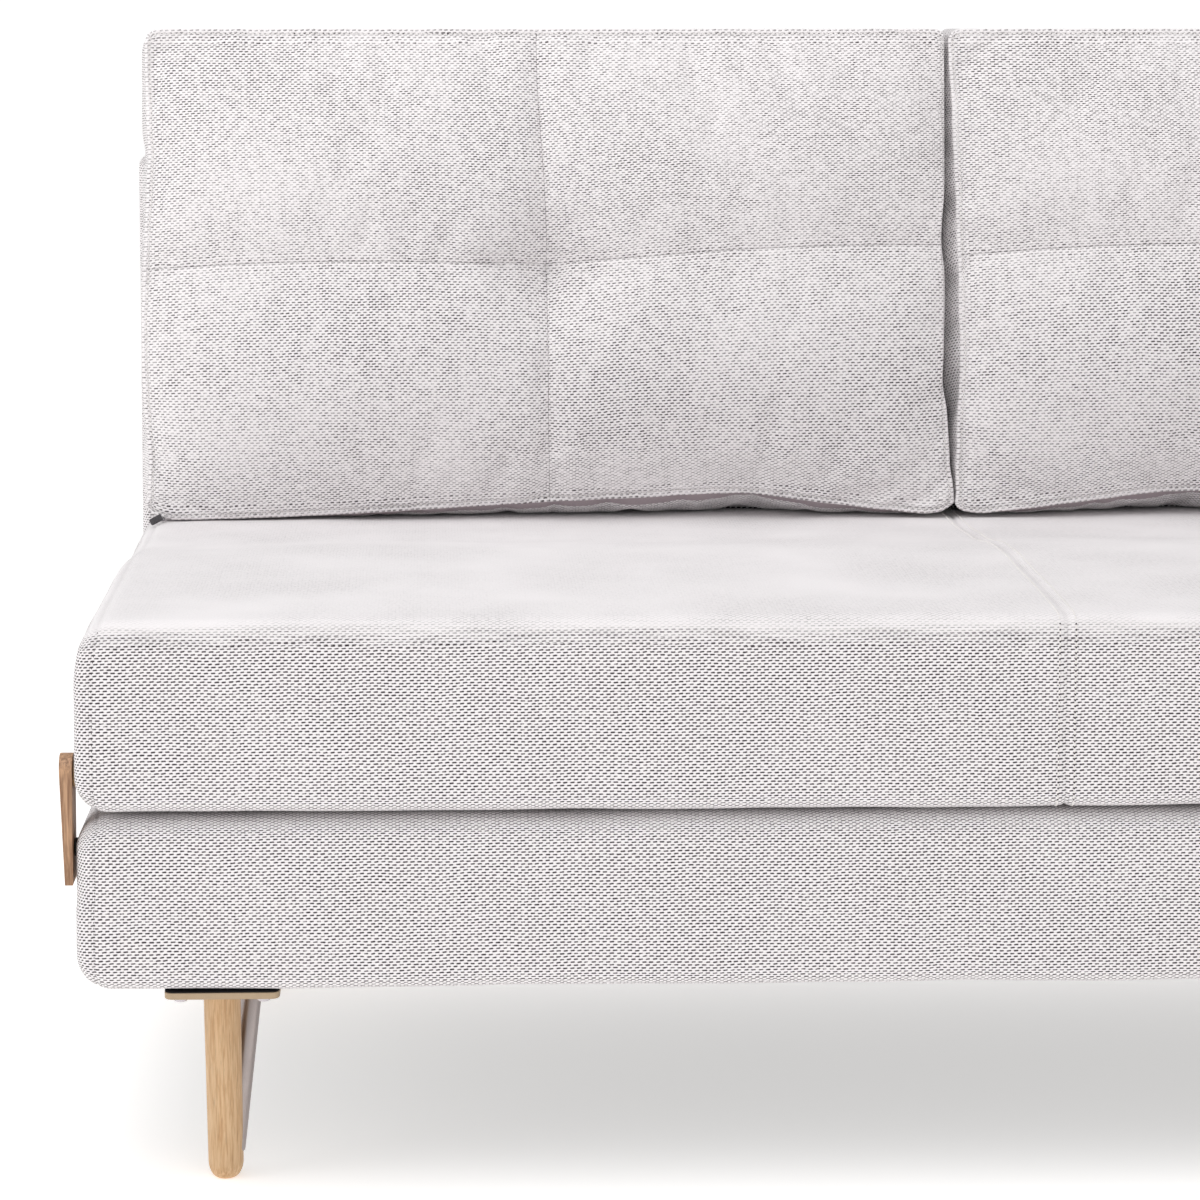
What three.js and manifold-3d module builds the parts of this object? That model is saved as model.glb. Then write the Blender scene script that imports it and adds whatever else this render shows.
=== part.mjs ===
// Armless two-seat sofa bed with a flip-over seat and a click clack back.
// Millimetres: +X to the right seen from the front, +Y to the rear, +Z up. Left is the side of -X.
// Depths are counted from the front faces of the sections while the pieces are made.
import * as THREE from 'three';
import { mergeVertices } from 'three/addons/utils/BufferGeometryUtils.js';
import Module from 'manifold-3d';

const wasm = await Module();
wasm.setup();

// Sections and back
const sofaWidth = 1600;
const sectionDepth = 720;
const lowerBottom = 176;
const pivotHeight = 290;
const edgeRadius = 29.7;
const upperThickness = 160;
const backGap = 6;
const backThickness = 110;
const backTop = 822;
const backEdgeRadius = 12;

// Play between pieces
const gap = 0.3;
const rollingGap = 0.6;
const overrun = 20;

// Padding and timber inside the sections
const sideWall = 34;
const lowerFoam = 49;
const upperFoam = 40;
const undersideThickness = 30;
const lowerRailWidth = 40;
const upperRailWidth = 30;
const crossRailWidth = 40;
const dustCoverThickness = 2;
const webbingThickness = 2;
const webbingBand = 52;
const coilPitch = 62;

// Back frame
const backFoam = 31;
const backSideWall = 30;
const backRailWidth = 42;
const backBoardThickness = 8;

// Seat crown under the sitter, and where the cushions press it down
const seatCrown = 7;
const seatSag = 10;
const sideDraw = 4;
const crownPlaceShare = 0.45;
const crownSquareness = 6;
const drawnShare = 0.9;
const sagShares = [-0.1, 0.35];

// Legs
const legTopRadius = 16.75;
const legFootRadius = 15;
const legFlatRadius = 6;
const legInset = 118.5;
const legSetback = 75;
const plateWidth = 93;
const plateDepth = 140;
const plateThickness = 6.5;
const plateCornerRadius = 7;
const braceRadius = 9;
const braceTopShift = 20;
const braceFootShift = 6.5;
const braceTopSetback = 42;
const braceFootHeight = 27;

// Side links
const linkWidth = 34;
const linkTopThickness = 10.8;
const linkFootThickness = 6.5;
const linkTail = 28;
const linkBore = 5.3;
const linkBoreDepth = 5;
const dowelRadius = 10.5;
const dowelTipRadius = 8;
const pinFlangeRadius = 7.5;
const pinFlangeLength = 4;
const pinRadius = 6;

// Bed legs on the sides of the upper section
const bedLegRearInset = 80;
const bedLegPivotHeight = 385;
const bedLegWidth = 34;
const bedLegThickness = 10;
const floorClearance = 0.4;
const boltRadius = 6;
const boltHeadRadius = 11;
const boltHeadLength = 3.6;

// Click clack hinges
const hingePlateThickness = 4;
const hingeBossRadius = 30;
const toothDepth = 4;
const toothCount = 7;
const hingeFootLength = 95;
const hingeFootHeight = 84;
const hingeArmLength = 105;
const hingeArmWidth = 32;
const pawlLength = 26;
const pawlWidth = 12;

// Back cushions
const cushionGap = 12;
const cushionInset = 15;
const cushionHeight = 475;
const cushionThickness = 94;
const cushionRadius = 26;
const cushionCrown = 42;
const cushionRearCrown = 12;
const cushionLean = THREE.MathUtils.degToRad(5);
const cushionOverhang = 15;
const cushionDraw = 7;
const panelSquareness = 2.5;
const rimSquareness = 8;
const seamDepth = 15;
const seamWidth = 30;
const tuftDepth = 26;
const tuftRadius = 75;
const zipTabWidth = 11;
const zipTabLength = 13;
const zipTabThickness = 2;
const zipSliderWidth = 6;

// Steps round curves
const roundSteps = 16;
const arcSteps = 4;
const coilSteps = 3;

// Places that follow from the sizes
const halfWidth = sofaWidth / 2;
const frontPivotDepth = edgeRadius;
const lowerTop = pivotHeight + edgeRadius;
const pivotSpacing = 2 * edgeRadius + rollingGap;
const upperPivotHeight = pivotHeight + pivotSpacing;
const upperBottom = upperPivotHeight - edgeRadius;
const upperTop = upperBottom + upperThickness;
const backFront = sectionDepth + backGap;
const backRear = backFront + backThickness;
const backPivotDepth = backFront + edgeRadius;
const backBottom = pivotHeight - edgeRadius;
const overallDepth = backRear;
const pocketHalf = halfWidth - sideWall;
const railHalf = pocketHalf - gap;
const linkInner = halfWidth + 2 * gap;
const bedLegPivotDepth = sectionDepth - bedLegRearInset;
const cushionWidth = halfWidth - cushionInset - cushionGap / 2;
const legHeight = lowerBottom - gap - plateThickness;

// Colours and finishes
const finish = (color, roughness, metalness = 0) =>
  new THREE.MeshStandardMaterial({ color, roughness, metalness });
const fabric = finish(0xd8d1cb, 0.95);
const oak = finish(0xc9a678, 0.5);
const walnut = finish(0x7d5a41, 0.55);
const beech = finish(0xd9bd93, 0.55);
const pine = finish(0xd2b48a, 0.7);
const elastic = finish(0x3f3d3b, 0.9);
const coilCover = finish(0xeeeeea, 0.9);
const nonwoven = finish(0x2b2a2a, 0.95);
const bronzedSteel = finish(0xa3805f, 0.45, 0.6);
const brightSteel = finish(0xb9b6ba, 0.3, 1);
const blackSteel = finish(0x1d1c1d, 0.45, 0.5);
const darkPlastic = finish(0x4a474a, 0.6);

const sofa = new THREE.Group();
sofa.position.y = -overallDepth / 2;

function addPiece(name, geometry, material) {
  const mesh = new THREE.Mesh(geometry, material);
  mesh.name = name;
  sofa.add(mesh);
}

// Joins and cuts
function toSolid(geometry) {
  const bare = geometry.index ? geometry.toNonIndexed() : geometry.clone();
  bare.deleteAttribute('normal');
  bare.deleteAttribute('uv');
  const merged = mergeVertices(bare);
  return new wasm.Manifold(
    new wasm.Mesh({
      numProp: 3,
      vertProperties: new Float32Array(merged.attributes.position.array),
      triVerts: new Uint32Array(merged.index.array),
    }),
  );
}

function toGeometry(solid) {
  const mesh = solid.getMesh();
  const geometry = new THREE.BufferGeometry();
  geometry.setAttribute('position', new THREE.BufferAttribute(mesh.vertProperties, 3));
  geometry.setIndex(new THREE.BufferAttribute(mesh.triVerts, 1));
  geometry.computeVertexNormals();
  return geometry;
}

function cutAway(geometry, ...cutters) {
  const rest = cutters.reduce((solid, cutter) => solid.subtract(toSolid(cutter)), toSolid(geometry));
  return toGeometry(rest);
}

// A block from its low corner to its high corner
function block(low, high) {
  const size = high.map((value, axis) => value - low[axis]);
  const centre = high.map((value, axis) => (value + low[axis]) / 2);
  return new THREE.BoxGeometry(...size).translate(...centre);
}

// A round bar along X on either side of the sofa, from one distance off centre to another
function sideRod(side, radius, inner, outer, depth, height) {
  const length = outer - inner;
  return new THREE.CylinderGeometry(radius, radius, length, roundSteps)
    .rotateZ(Math.PI / 2)
    .translate((side * (inner + outer)) / 2, depth, height);
}

// A turned piece along X: pairs of distance off centre and radius
function sideTurning(side, profile, depth, height) {
  const first = profile[0][0];
  const points = [new THREE.Vector2(0, 0)];
  for (const [distance, radius] of profile) points.push(new THREE.Vector2(radius, distance - first));
  points.push(new THREE.Vector2(0, profile[profile.length - 1][0] - first));
  return new THREE.LatheGeometry(points, roundSteps)
    .rotateZ(-side * Math.PI / 2)
    .translate(side * first, depth, height);
}

// A flat outline in depth and height, given thickness along X outside one side
function sidePlate(side, shape, inner, thickness) {
  const settings = { depth: thickness, bevelEnabled: false, curveSegments: roundSteps / 2 };
  const plate = new THREE.ExtrudeGeometry(shape, settings);
  const upright = new THREE.Matrix4().makeBasis(
    new THREE.Vector3(0, 1, 0),
    new THREE.Vector3(0, 0, 1),
    new THREE.Vector3(1, 0, 0),
  );
  return plate.applyMatrix4(upright).translate(side > 0 ? inner : -inner - thickness, 0, 0);
}

function roundHole(depth, height, radius) {
  const hole = new THREE.Path();
  hole.absarc(depth, height, radius, 0, 2 * Math.PI, true);
  return hole;
}

// Stops along one side of a padded block: round edge, flat middle, round edge
function axisStops(half, radius, flatSteps, edgeSteps) {
  const stops = [];
  const edge = (step) => half - radius + radius * Math.tan(((step / edgeSteps) * Math.PI) / 4);
  for (let step = edgeSteps; step > 0; step--) stops.push(-edge(step));
  for (let step = 0; step <= flatSteps; step++) stops.push((half - radius) * ((2 * step) / flatSteps - 1));
  for (let step = 1; step <= edgeSteps; step++) stops.push(edge(step));
  return stops;
}

// A padded block with round edges about its own centre; form moves each point of its surface
function paddedBlock(size, radius, flatSteps, edgeSteps, form) {
  const halves = size.map((length) => length / 2);
  const stops = halves.map((half, axis) => axisStops(half, radius, flatSteps[axis], edgeSteps));
  const counts = stops.map((list) => list.length - 1);
  const geometry = new THREE.BoxGeometry(...counts, ...counts);
  const place = geometry.attributes.position;
  for (let index = 0; index < place.count; index++) {
    const raw = [0, 1, 2].map((axis) => {
      const step = Math.round(place.getComponent(index, axis) + counts[axis] / 2);
      return stops[axis][step];
    });
    const core = raw.map((value, axis) => {
      const limit = halves[axis] - radius;
      return THREE.MathUtils.clamp(value, -limit, limit);
    });
    const out = new THREE.Vector3(...raw.map((value, axis) => value - core[axis])).setLength(radius);
    const point = new THREE.Vector3(...core).add(out);
    form(point, halves);
    place.setXYZ(index, point.x, point.y, point.z);
  }
  return geometry;
}

const smooth = (value, low, high) => THREE.MathUtils.smoothstep(value, low, high);

// Sections: crown on top, sides drawn in between the corners
function sectionForm(crown, sag) {
  return (point, halves) => {
    const across = point.x / halves[0];
    const along = point.y / halves[1];
    const height = point.z / halves[2];
    const middle = (1 - across * across) * (1 - along * along);
    const level = 1 - height * height;
    if (Math.abs(across) > drawnShare) point.x -= Math.sign(across) * sideDraw * level * (1 - along * along);
    if (height > 0) {
      const edge = 1 - Math.pow(Math.abs(across), crownSquareness);
      point.z += crown * height * edge * Math.max(0, 1 - Math.pow(along + crownPlaceShare, 2));
      point.z -= sag * height * smooth(along, ...sagShares);
    }
    if (along > drawnShare) point.y -= sideDraw * level * middle;
  };
}

function lowerPad() {
  const height = lowerTop - lowerBottom;
  const pad = paddedBlock([sofaWidth, sectionDepth, height], edgeRadius, [8, 5, 1], 3, sectionForm(0, 0));
  pad.translate(0, sectionDepth / 2, lowerBottom + height / 2);
  const pocket = block(
    [-pocketHalf, sideWall, lowerBottom - overrun],
    [pocketHalf, sectionDepth - sideWall, lowerTop - lowerFoam],
  );
  const flangeStart = halfWidth - pinFlangeLength;
  const pins = [-1, 1].flatMap((side) => [
    sideRod(side, pinRadius + gap, pocketHalf, halfWidth + overrun, frontPivotDepth, pivotHeight),
    sideRod(side, pinFlangeRadius + gap, flangeStart, halfWidth + overrun, frontPivotDepth, pivotHeight),
  ]);
  addPiece('lower_pad', cutAway(pad, pocket, ...pins), fabric);
}

// Four rails round a pocket that is open at one side
function railRing(prefix, width, bottom, top) {
  const front = sideWall + gap;
  const rear = sectionDepth - sideWall - gap;
  addPiece(`${prefix}_rail_front`, block([-railHalf, front, bottom], [railHalf, front + width, top]), pine);
  addPiece(`${prefix}_rail_rear`, block([-railHalf, rear - width, bottom], [railHalf, rear, top]), pine);
  const low = front + width + gap;
  const high = rear - width - gap;
  addPiece(`${prefix}_rail_left`, block([-railHalf, low, bottom], [width - railHalf, high, top]), pine);
  addPiece(`${prefix}_rail_right`, block([railHalf - width, low, bottom], [railHalf, high, top]), pine);
}

// A lattice of flat bands: a thin plate with square holes
function webbingLattice(width, height, holesAcross, holesUp) {
  const pitchAcross = (width - webbingBand) / holesAcross;
  const pitchUp = (height - webbingBand) / holesUp;
  const holes = [];
  for (let column = 0; column < holesAcross; column++) {
    for (let row = 0; row < holesUp; row++) {
      const left = webbingBand - width / 2 + column * pitchAcross;
      const low = webbingBand - height / 2 + row * pitchUp;
      const right = left + pitchAcross - webbingBand;
      const high = low + pitchUp - webbingBand;
      holes.push(block([left, low, -overrun], [right, high, overrun]));
    }
  }
  const plate = block([-width / 2, -height / 2, 0], [width / 2, height / 2, webbingThickness]);
  return cutAway(plate, ...holes);
}

function lowerFrame() {
  const railBottom = lowerBottom + dustCoverThickness + gap;
  const railTop = lowerTop - lowerFoam - webbingThickness - 2 * gap;
  railRing('lower', lowerRailWidth, railBottom, railTop);
  const low = sideWall + lowerRailWidth + 2 * gap;
  const high = sectionDepth - low;
  const half = crossRailWidth / 2;
  addPiece('lower_cross_rail', block([-half, low, railBottom], [half, high, railTop]), pine);
  const depth = sectionDepth - 2 * sideWall - 2 * gap;
  const webbing = webbingLattice(2 * railHalf, depth, 10, 4);
  addPiece('lower_webbing', webbing.translate(0, sectionDepth / 2, railTop + gap), elastic);
  const cover = block(
    [-railHalf, sideWall + gap, lowerBottom],
    [railHalf, sectionDepth - sideWall - gap, lowerBottom + dustCoverThickness],
  );
  addPiece('dust_cover', cover, nonwoven);
}

function upperPad() {
  const form = sectionForm(seatCrown, seatSag);
  const pad = paddedBlock([sofaWidth, sectionDepth, upperThickness], edgeRadius, [10, 8, 1], 3, form);
  pad.translate(0, sectionDepth / 2, upperBottom + upperThickness / 2);
  const pocket = block(
    [-pocketHalf, sideWall, upperBottom - overrun],
    [pocketHalf, sectionDepth - sideWall, upperTop - upperFoam],
  );
  const start = pocketHalf - overrun;
  const end = halfWidth + overrun;
  const holes = [-1, 1].flatMap((side) => [
    sideRod(side, dowelRadius + gap, start, end, frontPivotDepth, upperPivotHeight),
    sideRod(side, boltRadius + gap, start, end, bedLegPivotDepth, bedLegPivotHeight),
  ]);
  addPiece('upper_pad', cutAway(pad, pocket, ...holes), fabric);
}

// A slab of pocketed coils: its outline follows the outer row of coils
function coilSlab(width, depth, thickness) {
  const across = Math.floor(width / coilPitch);
  const along = Math.floor(depth / coilPitch);
  const right = ((across - 1) * coilPitch) / 2;
  const rear = ((along - 1) * coilPitch) / 2;
  const corners = [[-right, -rear], [right, -rear], [right, rear], [-right, rear]];
  const shape = new THREE.Shape();
  corners.forEach(([x, y], side) => {
    const turn = (side * Math.PI) / 2;
    const coils = side % 2 ? along : across;
    shape.absarc(x, y, coilPitch / 2, turn + Math.PI / 2, turn + 2 * Math.PI, false);
    for (let coil = 1; coil < coils - 1; coil++) {
      const step = coil * coilPitch;
      const place = [x + step * Math.cos(turn), y + step * Math.sin(turn)];
      shape.absarc(...place, coilPitch / 2, turn + Math.PI, turn + 2 * Math.PI, false);
    }
  });
  const settings = { depth: thickness, bevelEnabled: false, curveSegments: coilSteps };
  return new THREE.ExtrudeGeometry(shape, settings);
}

function upperFrame() {
  const undersideTop = upperBottom + undersideThickness;
  const underside = block(
    [-railHalf, sideWall + gap, upperBottom],
    [railHalf, sectionDepth - sideWall - gap, undersideTop],
  );
  const dowels = [-1, 1].map((side) =>
    sideRod(side, dowelRadius + gap, pocketHalf - overrun, halfWidth, frontPivotDepth, upperPivotHeight),
  );
  addPiece('upper_underside', cutAway(underside, ...dowels), fabric);
  const railBottom = undersideTop + gap;
  const railTop = upperTop - upperFoam - gap;
  railRing('upper', upperRailWidth, railBottom, railTop);
  const inset = sideWall + upperRailWidth + 2 * gap;
  const slab = coilSlab(sofaWidth - 2 * inset, sectionDepth - 2 * inset, railTop - railBottom);
  addPiece('upper_spring_core', slab.translate(0, sectionDepth / 2, railBottom), coilCover);
}

// Legs with their plates and braces
function legProfile(spare) {
  const tip = legFootRadius;
  const points = [new THREE.Vector2(0, 0), new THREE.Vector2(legFlatRadius + spare, 0)];
  for (let step = 1; step <= arcSteps; step++) {
    const turn = ((step / arcSteps) * Math.PI) / 2;
    const radius = legFlatRadius + (tip - legFlatRadius) * Math.sin(turn);
    points.push(new THREE.Vector2(radius + spare, tip * (1 - Math.cos(turn))));
  }
  points.push(new THREE.Vector2(legTopRadius + spare, legHeight - gap));
  points.push(new THREE.Vector2(0, legHeight - gap));
  return points;
}

function turnedLeg(spare, x, depth) {
  return new THREE.LatheGeometry(legProfile(spare), roundSteps).rotateX(Math.PI / 2).translate(x, depth, 0);
}

function legPlate(x, depth) {
  const halfX = plateWidth / 2;
  const halfY = plateDepth / 2;
  const shape = new THREE.Shape();
  const corner = plateCornerRadius;
  shape.absarc(halfX - corner, halfY - corner, corner, 0, Math.PI / 2, false);
  shape.absarc(corner - halfX, halfY - corner, corner, Math.PI / 2, Math.PI, false);
  shape.absarc(corner - halfX, corner - halfY, corner, Math.PI, (3 * Math.PI) / 2, false);
  shape.absarc(halfX - corner, corner - halfY, corner, (3 * Math.PI) / 2, 2 * Math.PI, false);
  const settings = { depth: plateThickness, bevelEnabled: false, curveSegments: 2 };
  return new THREE.ExtrudeGeometry(shape, settings).translate(x, depth, legHeight);
}

function legBrace(x, depth, inward, towardMiddle) {
  const topDepth = depth + towardMiddle * braceTopSetback;
  const top = new THREE.Vector3(x + inward * braceTopShift, topDepth, lowerBottom);
  const foot = new THREE.Vector3(x + inward * braceFootShift, depth, braceFootHeight);
  const along = top.clone().sub(foot);
  const upright = new THREE.Vector3(0, 1, 0);
  const turn = new THREE.Quaternion().setFromUnitVectors(upright, along.clone().normalize());
  const bar = new THREE.CylinderGeometry(braceRadius, braceRadius, along.length(), roundSteps);
  bar.applyQuaternion(turn).translate(...top.clone().add(foot).divideScalar(2).toArray());
  const plateZone = block(
    [x - plateWidth, depth - plateDepth, legHeight - gap],
    [x + plateWidth, depth + plateDepth, lowerBottom + 2 * braceRadius],
  );
  return cutAway(bar, turnedLeg(gap, x, depth), plateZone);
}

function legs() {
  const rows = [['front', legSetback, 1], ['rear', sectionDepth - legSetback, -1]];
  for (const [row, depth, towardMiddle] of rows) {
    for (const [hand, side] of [['left', -1], ['right', 1]]) {
      const x = side * (halfWidth - legInset);
      addPiece(`leg_plate_${row}_${hand}`, legPlate(x, depth), bronzedSteel);
      addPiece(`leg_${row}_${hand}`, turnedLeg(0, x, depth), oak);
      addPiece(`leg_brace_${row}_${hand}`, legBrace(x, depth, -side, towardMiddle), brightSteel);
    }
  }
}

// A wooden side link: round at the top, square at the bottom, thinner towards the bottom
function sideLink(side) {
  const half = linkWidth / 2;
  const shape = new THREE.Shape();
  shape.moveTo(frontPivotDepth - half, pivotHeight - linkTail);
  shape.lineTo(frontPivotDepth + half, pivotHeight - linkTail);
  shape.absarc(frontPivotDepth, upperPivotHeight, half, 0, Math.PI, false);
  shape.closePath();
  const plate = sidePlate(side, shape, linkInner, linkTopThickness);
  const place = plate.attributes.position;
  const low = pivotHeight - linkTail;
  const high = upperPivotHeight + half;
  for (let index = 0; index < place.count; index++) {
    const out = Math.abs(place.getX(index)) - linkInner;
    const rise = (place.getZ(index) - low) / (high - low);
    const thickness = THREE.MathUtils.lerp(linkFootThickness, linkTopThickness, rise);
    place.setX(index, side * (linkInner + (out / linkTopThickness) * thickness));
  }
  const bores = [pivotHeight, upperPivotHeight].map((height) =>
    sideRod(side, linkBore, linkInner - overrun, linkInner + linkBoreDepth, frontPivotDepth, height),
  );
  return cutAway(plate, ...bores);
}

function links() {
  const spigot = linkBore - gap;
  const end = linkInner + linkBoreDepth - gap;
  const shoulder = linkInner - gap;
  for (const [hand, side] of [['left', -1], ['right', 1]]) {
    addPiece(`side_link_${hand}`, sideLink(side), walnut);
    const dowel = [[pocketHalf, dowelTipRadius], [shoulder, dowelRadius], [shoulder, spigot], [end, spigot]];
    addPiece(`link_dowel_${hand}`, sideTurning(side, dowel, frontPivotDepth, upperPivotHeight), beech);
    const flange = halfWidth - pinFlangeLength + gap;
    const pin = [[pocketHalf, pinRadius], [flange, pinRadius], [flange, pinFlangeRadius]];
    pin.push([shoulder, pinFlangeRadius], [shoulder, spigot], [end, spigot]);
    addPiece(`link_pin_${hand}`, sideTurning(side, pin, frontPivotDepth, pivotHeight), blackSteel);
  }
}

// Bed legs lie forward along the sides at rest and point down when the section is flipped
function bedLegs() {
  const half = bedLegWidth / 2;
  const flippedPivotHeight = pivotHeight + upperPivotHeight - bedLegPivotHeight;
  const length = flippedPivotHeight - floorClearance;
  const inner = halfWidth + 2 * gap;
  for (const [hand, side] of [['left', -1], ['right', 1]]) {
    const shape = new THREE.Shape();
    shape.absarc(bedLegPivotDepth, bedLegPivotHeight, half, -Math.PI / 2, Math.PI / 2, false);
    shape.lineTo(bedLegPivotDepth - length, bedLegPivotHeight + half);
    shape.lineTo(bedLegPivotDepth - length, bedLegPivotHeight - half);
    shape.closePath();
    shape.holes.push(roundHole(bedLegPivotDepth, bedLegPivotHeight, boltRadius + gap));
    addPiece(`bed_leg_${hand}`, sidePlate(side, shape, inner, bedLegThickness), oak);
    const head = inner + bedLegThickness + gap;
    const bolt = [[pocketHalf, boltRadius], [head, boltRadius], [head, boltHeadRadius]];
    bolt.push([head + boltHeadLength / 2, boltHeadRadius]);
    const turned = sideTurning(side, bolt, bedLegPivotDepth, bedLegPivotHeight);
    addPiece(`bed_leg_bolt_${hand}`, turned, brightSteel);
  }
}

// Back: a slab whose bottom front edge is round about the hinge
function backPad() {
  const radius = backEdgeRadius;
  const low = backBottom + radius;
  const shape = new THREE.Shape();
  const inset = radius;
  shape.absarc(backPivotDepth, pivotHeight, edgeRadius - inset, Math.PI, (3 * Math.PI) / 2, false);
  shape.lineTo(backRear - inset, low);
  shape.lineTo(backRear - inset, backTop - inset);
  shape.lineTo(backFront + inset, backTop - inset);
  shape.closePath();
  const length = sofaWidth - 2 * inset;
  const slab = new THREE.ExtrudeGeometry(shape, {
    depth: length,
    bevelThickness: inset,
    bevelSize: inset,
    bevelSegments: 3,
    curveSegments: arcSteps,
  });
  const upright = new THREE.Matrix4().makeBasis(
    new THREE.Vector3(0, 1, 0),
    new THREE.Vector3(0, 0, 1),
    new THREE.Vector3(1, 0, 0),
  );
  slab.applyMatrix4(upright).translate(-length / 2, 0, 0);
  const half = halfWidth - backSideWall;
  const pocket = block(
    [-half, backFront + backFoam, backBottom + backSideWall],
    [half, backRear + overrun, backTop - backSideWall],
  );
  const bolts = [-1, 1].map((side) =>
    sideRod(side, boltRadius + gap, half - overrun, halfWidth + overrun, backPivotDepth, pivotHeight),
  );
  addPiece('back_pad', cutAway(slab, pocket, ...bolts), fabric);
}

function backFrame() {
  const half = halfWidth - backSideWall - gap;
  const webbingFront = backFront + backFoam + gap;
  const front = webbingFront + webbingThickness + gap;
  const boardRear = backRear - gap;
  const rear = boardRear - backBoardThickness - gap;
  const bottom = backBottom + backSideWall + gap;
  const top = backTop - backSideWall - gap;
  const width = backRailWidth;
  addPiece('back_rail_bottom', block([-half, front, bottom], [half, rear, bottom + width]), pine);
  addPiece('back_rail_top', block([-half, front, top - width], [half, rear, top]), pine);
  const low = bottom + width + gap;
  const high = top - width - gap;
  addPiece('back_rail_left', block([-half, front, low], [width - half, rear, high]), pine);
  addPiece('back_rail_right', block([half - width, front, low], [half, rear, high]), pine);
  const webbing = webbingLattice(2 * half, top - bottom, 10, 3).rotateX(Math.PI / 2);
  webbing.translate(0, webbingFront + webbingThickness, (top + bottom) / 2);
  addPiece('back_webbing', webbing, elastic);
  addPiece('back_board', block([-half, rear + gap, bottom], [half, boardRear, top]), fabric);
}

// Fixed hinge plate: foot on the side of the lower section, toothed boss about the hinge
function toothCorner(radius, turn) {
  return [backPivotDepth + radius * Math.cos(turn), pivotHeight + radius * Math.sin(turn)];
}

function fixedHingeShape() {
  const shape = new THREE.Shape();
  const footFront = sectionDepth - hingeFootLength;
  const footLow = pivotHeight - hingeFootHeight;
  const footHigh = pivotHeight + hingeBossRadius / 2;
  shape.moveTo(footFront, footHigh).lineTo(footFront, footLow).lineTo(sectionDepth, footLow);
  shape.lineTo(backPivotDepth, pivotHeight - hingeBossRadius);
  const step = Math.PI / (2 * toothCount);
  for (let tooth = 0; tooth < 2 * toothCount; tooth++) {
    const turn = (tooth - toothCount) * step;
    const tip = toothCorner(hingeBossRadius + toothDepth, turn);
    const root = toothCorner(hingeBossRadius, turn + step);
    shape.lineTo(...tip).lineTo(...root);
  }
  shape.lineTo(sectionDepth, footHigh).closePath();
  shape.holes.push(roundHole(backPivotDepth, pivotHeight, boltRadius + gap));
  return shape;
}

function movingHingeShape() {
  const half = hingeArmWidth / 2;
  const shape = new THREE.Shape();
  shape.absarc(backPivotDepth, pivotHeight, half, Math.PI, 2 * Math.PI, false);
  shape.absarc(backPivotDepth, pivotHeight + hingeArmLength, half, 0, Math.PI, false);
  shape.closePath();
  shape.holes.push(roundHole(backPivotDepth, pivotHeight, boltRadius + gap));
  return shape;
}

// Pawl: a tapered catch above the teeth, carried by the moving plate
function pawlShape() {
  const shape = new THREE.Shape();
  const tip = pivotHeight + hingeBossRadius + toothDepth + 2 * gap;
  const half = pawlWidth / 2;
  shape.moveTo(backPivotDepth, tip).lineTo(backPivotDepth + half, tip + half);
  shape.lineTo(backPivotDepth + half, tip + pawlLength).lineTo(backPivotDepth - half, tip + pawlLength);
  shape.lineTo(backPivotDepth - half, tip + half).closePath();
  return shape;
}

function clickClackHinges() {
  const fixedInner = halfWidth + gap;
  const movingInner = fixedInner + hingePlateThickness + gap;
  const headInner = movingInner + hingePlateThickness + gap;
  const boltInner = halfWidth - backSideWall;
  for (const [hand, side] of [['left', -1], ['right', 1]]) {
    const fixed = sidePlate(side, fixedHingeShape(), fixedInner, hingePlateThickness);
    addPiece(`hinge_fixed_${hand}`, fixed, blackSteel);
    const moving = sidePlate(side, movingHingeShape(), movingInner, hingePlateThickness);
    addPiece(`hinge_moving_${hand}`, moving, blackSteel);
    const pawl = sidePlate(side, pawlShape(), fixedInner, hingePlateThickness);
    addPiece(`hinge_pawl_${hand}`, pawl, brightSteel);
    const bolt = [[boltInner, boltRadius], [headInner, boltRadius], [headInner, boltHeadRadius]];
    bolt.push([headInner + boltHeadLength, boltHeadRadius]);
    addPiece(`hinge_bolt_${hand}`, sideTurning(side, bolt, backPivotDepth, pivotHeight), brightSteel);
  }
}

// Back cushion: crowned front, crossed seams with a tuft, sides drawn in, pressed flat on the back panel
function cushionForm(point, halves) {
  const across = point.x / halves[0];
  const up = point.z / halves[2];
  const front = point.y < 0;
  const fullAcross = 1 - Math.pow(Math.abs(across), panelSquareness);
  const full = fullAcross * (1 - Math.pow(Math.abs(up), panelSquareness));
  const nearSeam = Math.min(Math.abs(point.x), Math.abs(point.z));
  const seam = Math.exp(-Math.pow(nearSeam / seamWidth, 2));
  const tuft = Math.exp(-(point.x * point.x + point.z * point.z) / (tuftRadius * tuftRadius));
  const face = Math.abs(point.y) / halves[1];
  const sewn = seamDepth * seam * Math.sqrt(full) + tuftDepth * tuft;
  const swell = front ? cushionCrown * full - sewn : cushionRearCrown * full;
  const drawAcross = cushionDraw * (1 - up * up) * Math.pow(Math.abs(across), rimSquareness);
  const drawUp = cushionDraw * (1 - across * across) * Math.pow(Math.abs(up), rimSquareness);
  point.x -= Math.sign(across) * drawAcross;
  if (up > 0) point.z -= drawUp;
  point.y += (front ? -1 : 1) * swell * face;
}

// Leans the cushion back: flat against the back panel, and a little over its top
function cushionPlacer(halves) {
  const bottom = upperTop - seatSag + 2 * gap;
  const rest = backFront - gap;
  const middle = rest - cushionThickness / 2;
  const bendStart = backTop + cushionRadius;
  const bendEnd = bottom + 2 * halves[2];
  return (point) => {
    const height = bottom + halves[2] + point.z;
    const leaning = middle + point.y + (point.z + halves[2]) * Math.tan(cushionLean);
    const bend = THREE.MathUtils.clamp((height - bendStart) / (bendEnd - bendStart), 0, 1);
    point.set(point.x, Math.min(leaning, rest + bend * cushionOverhang), height);
  };
}

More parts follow.
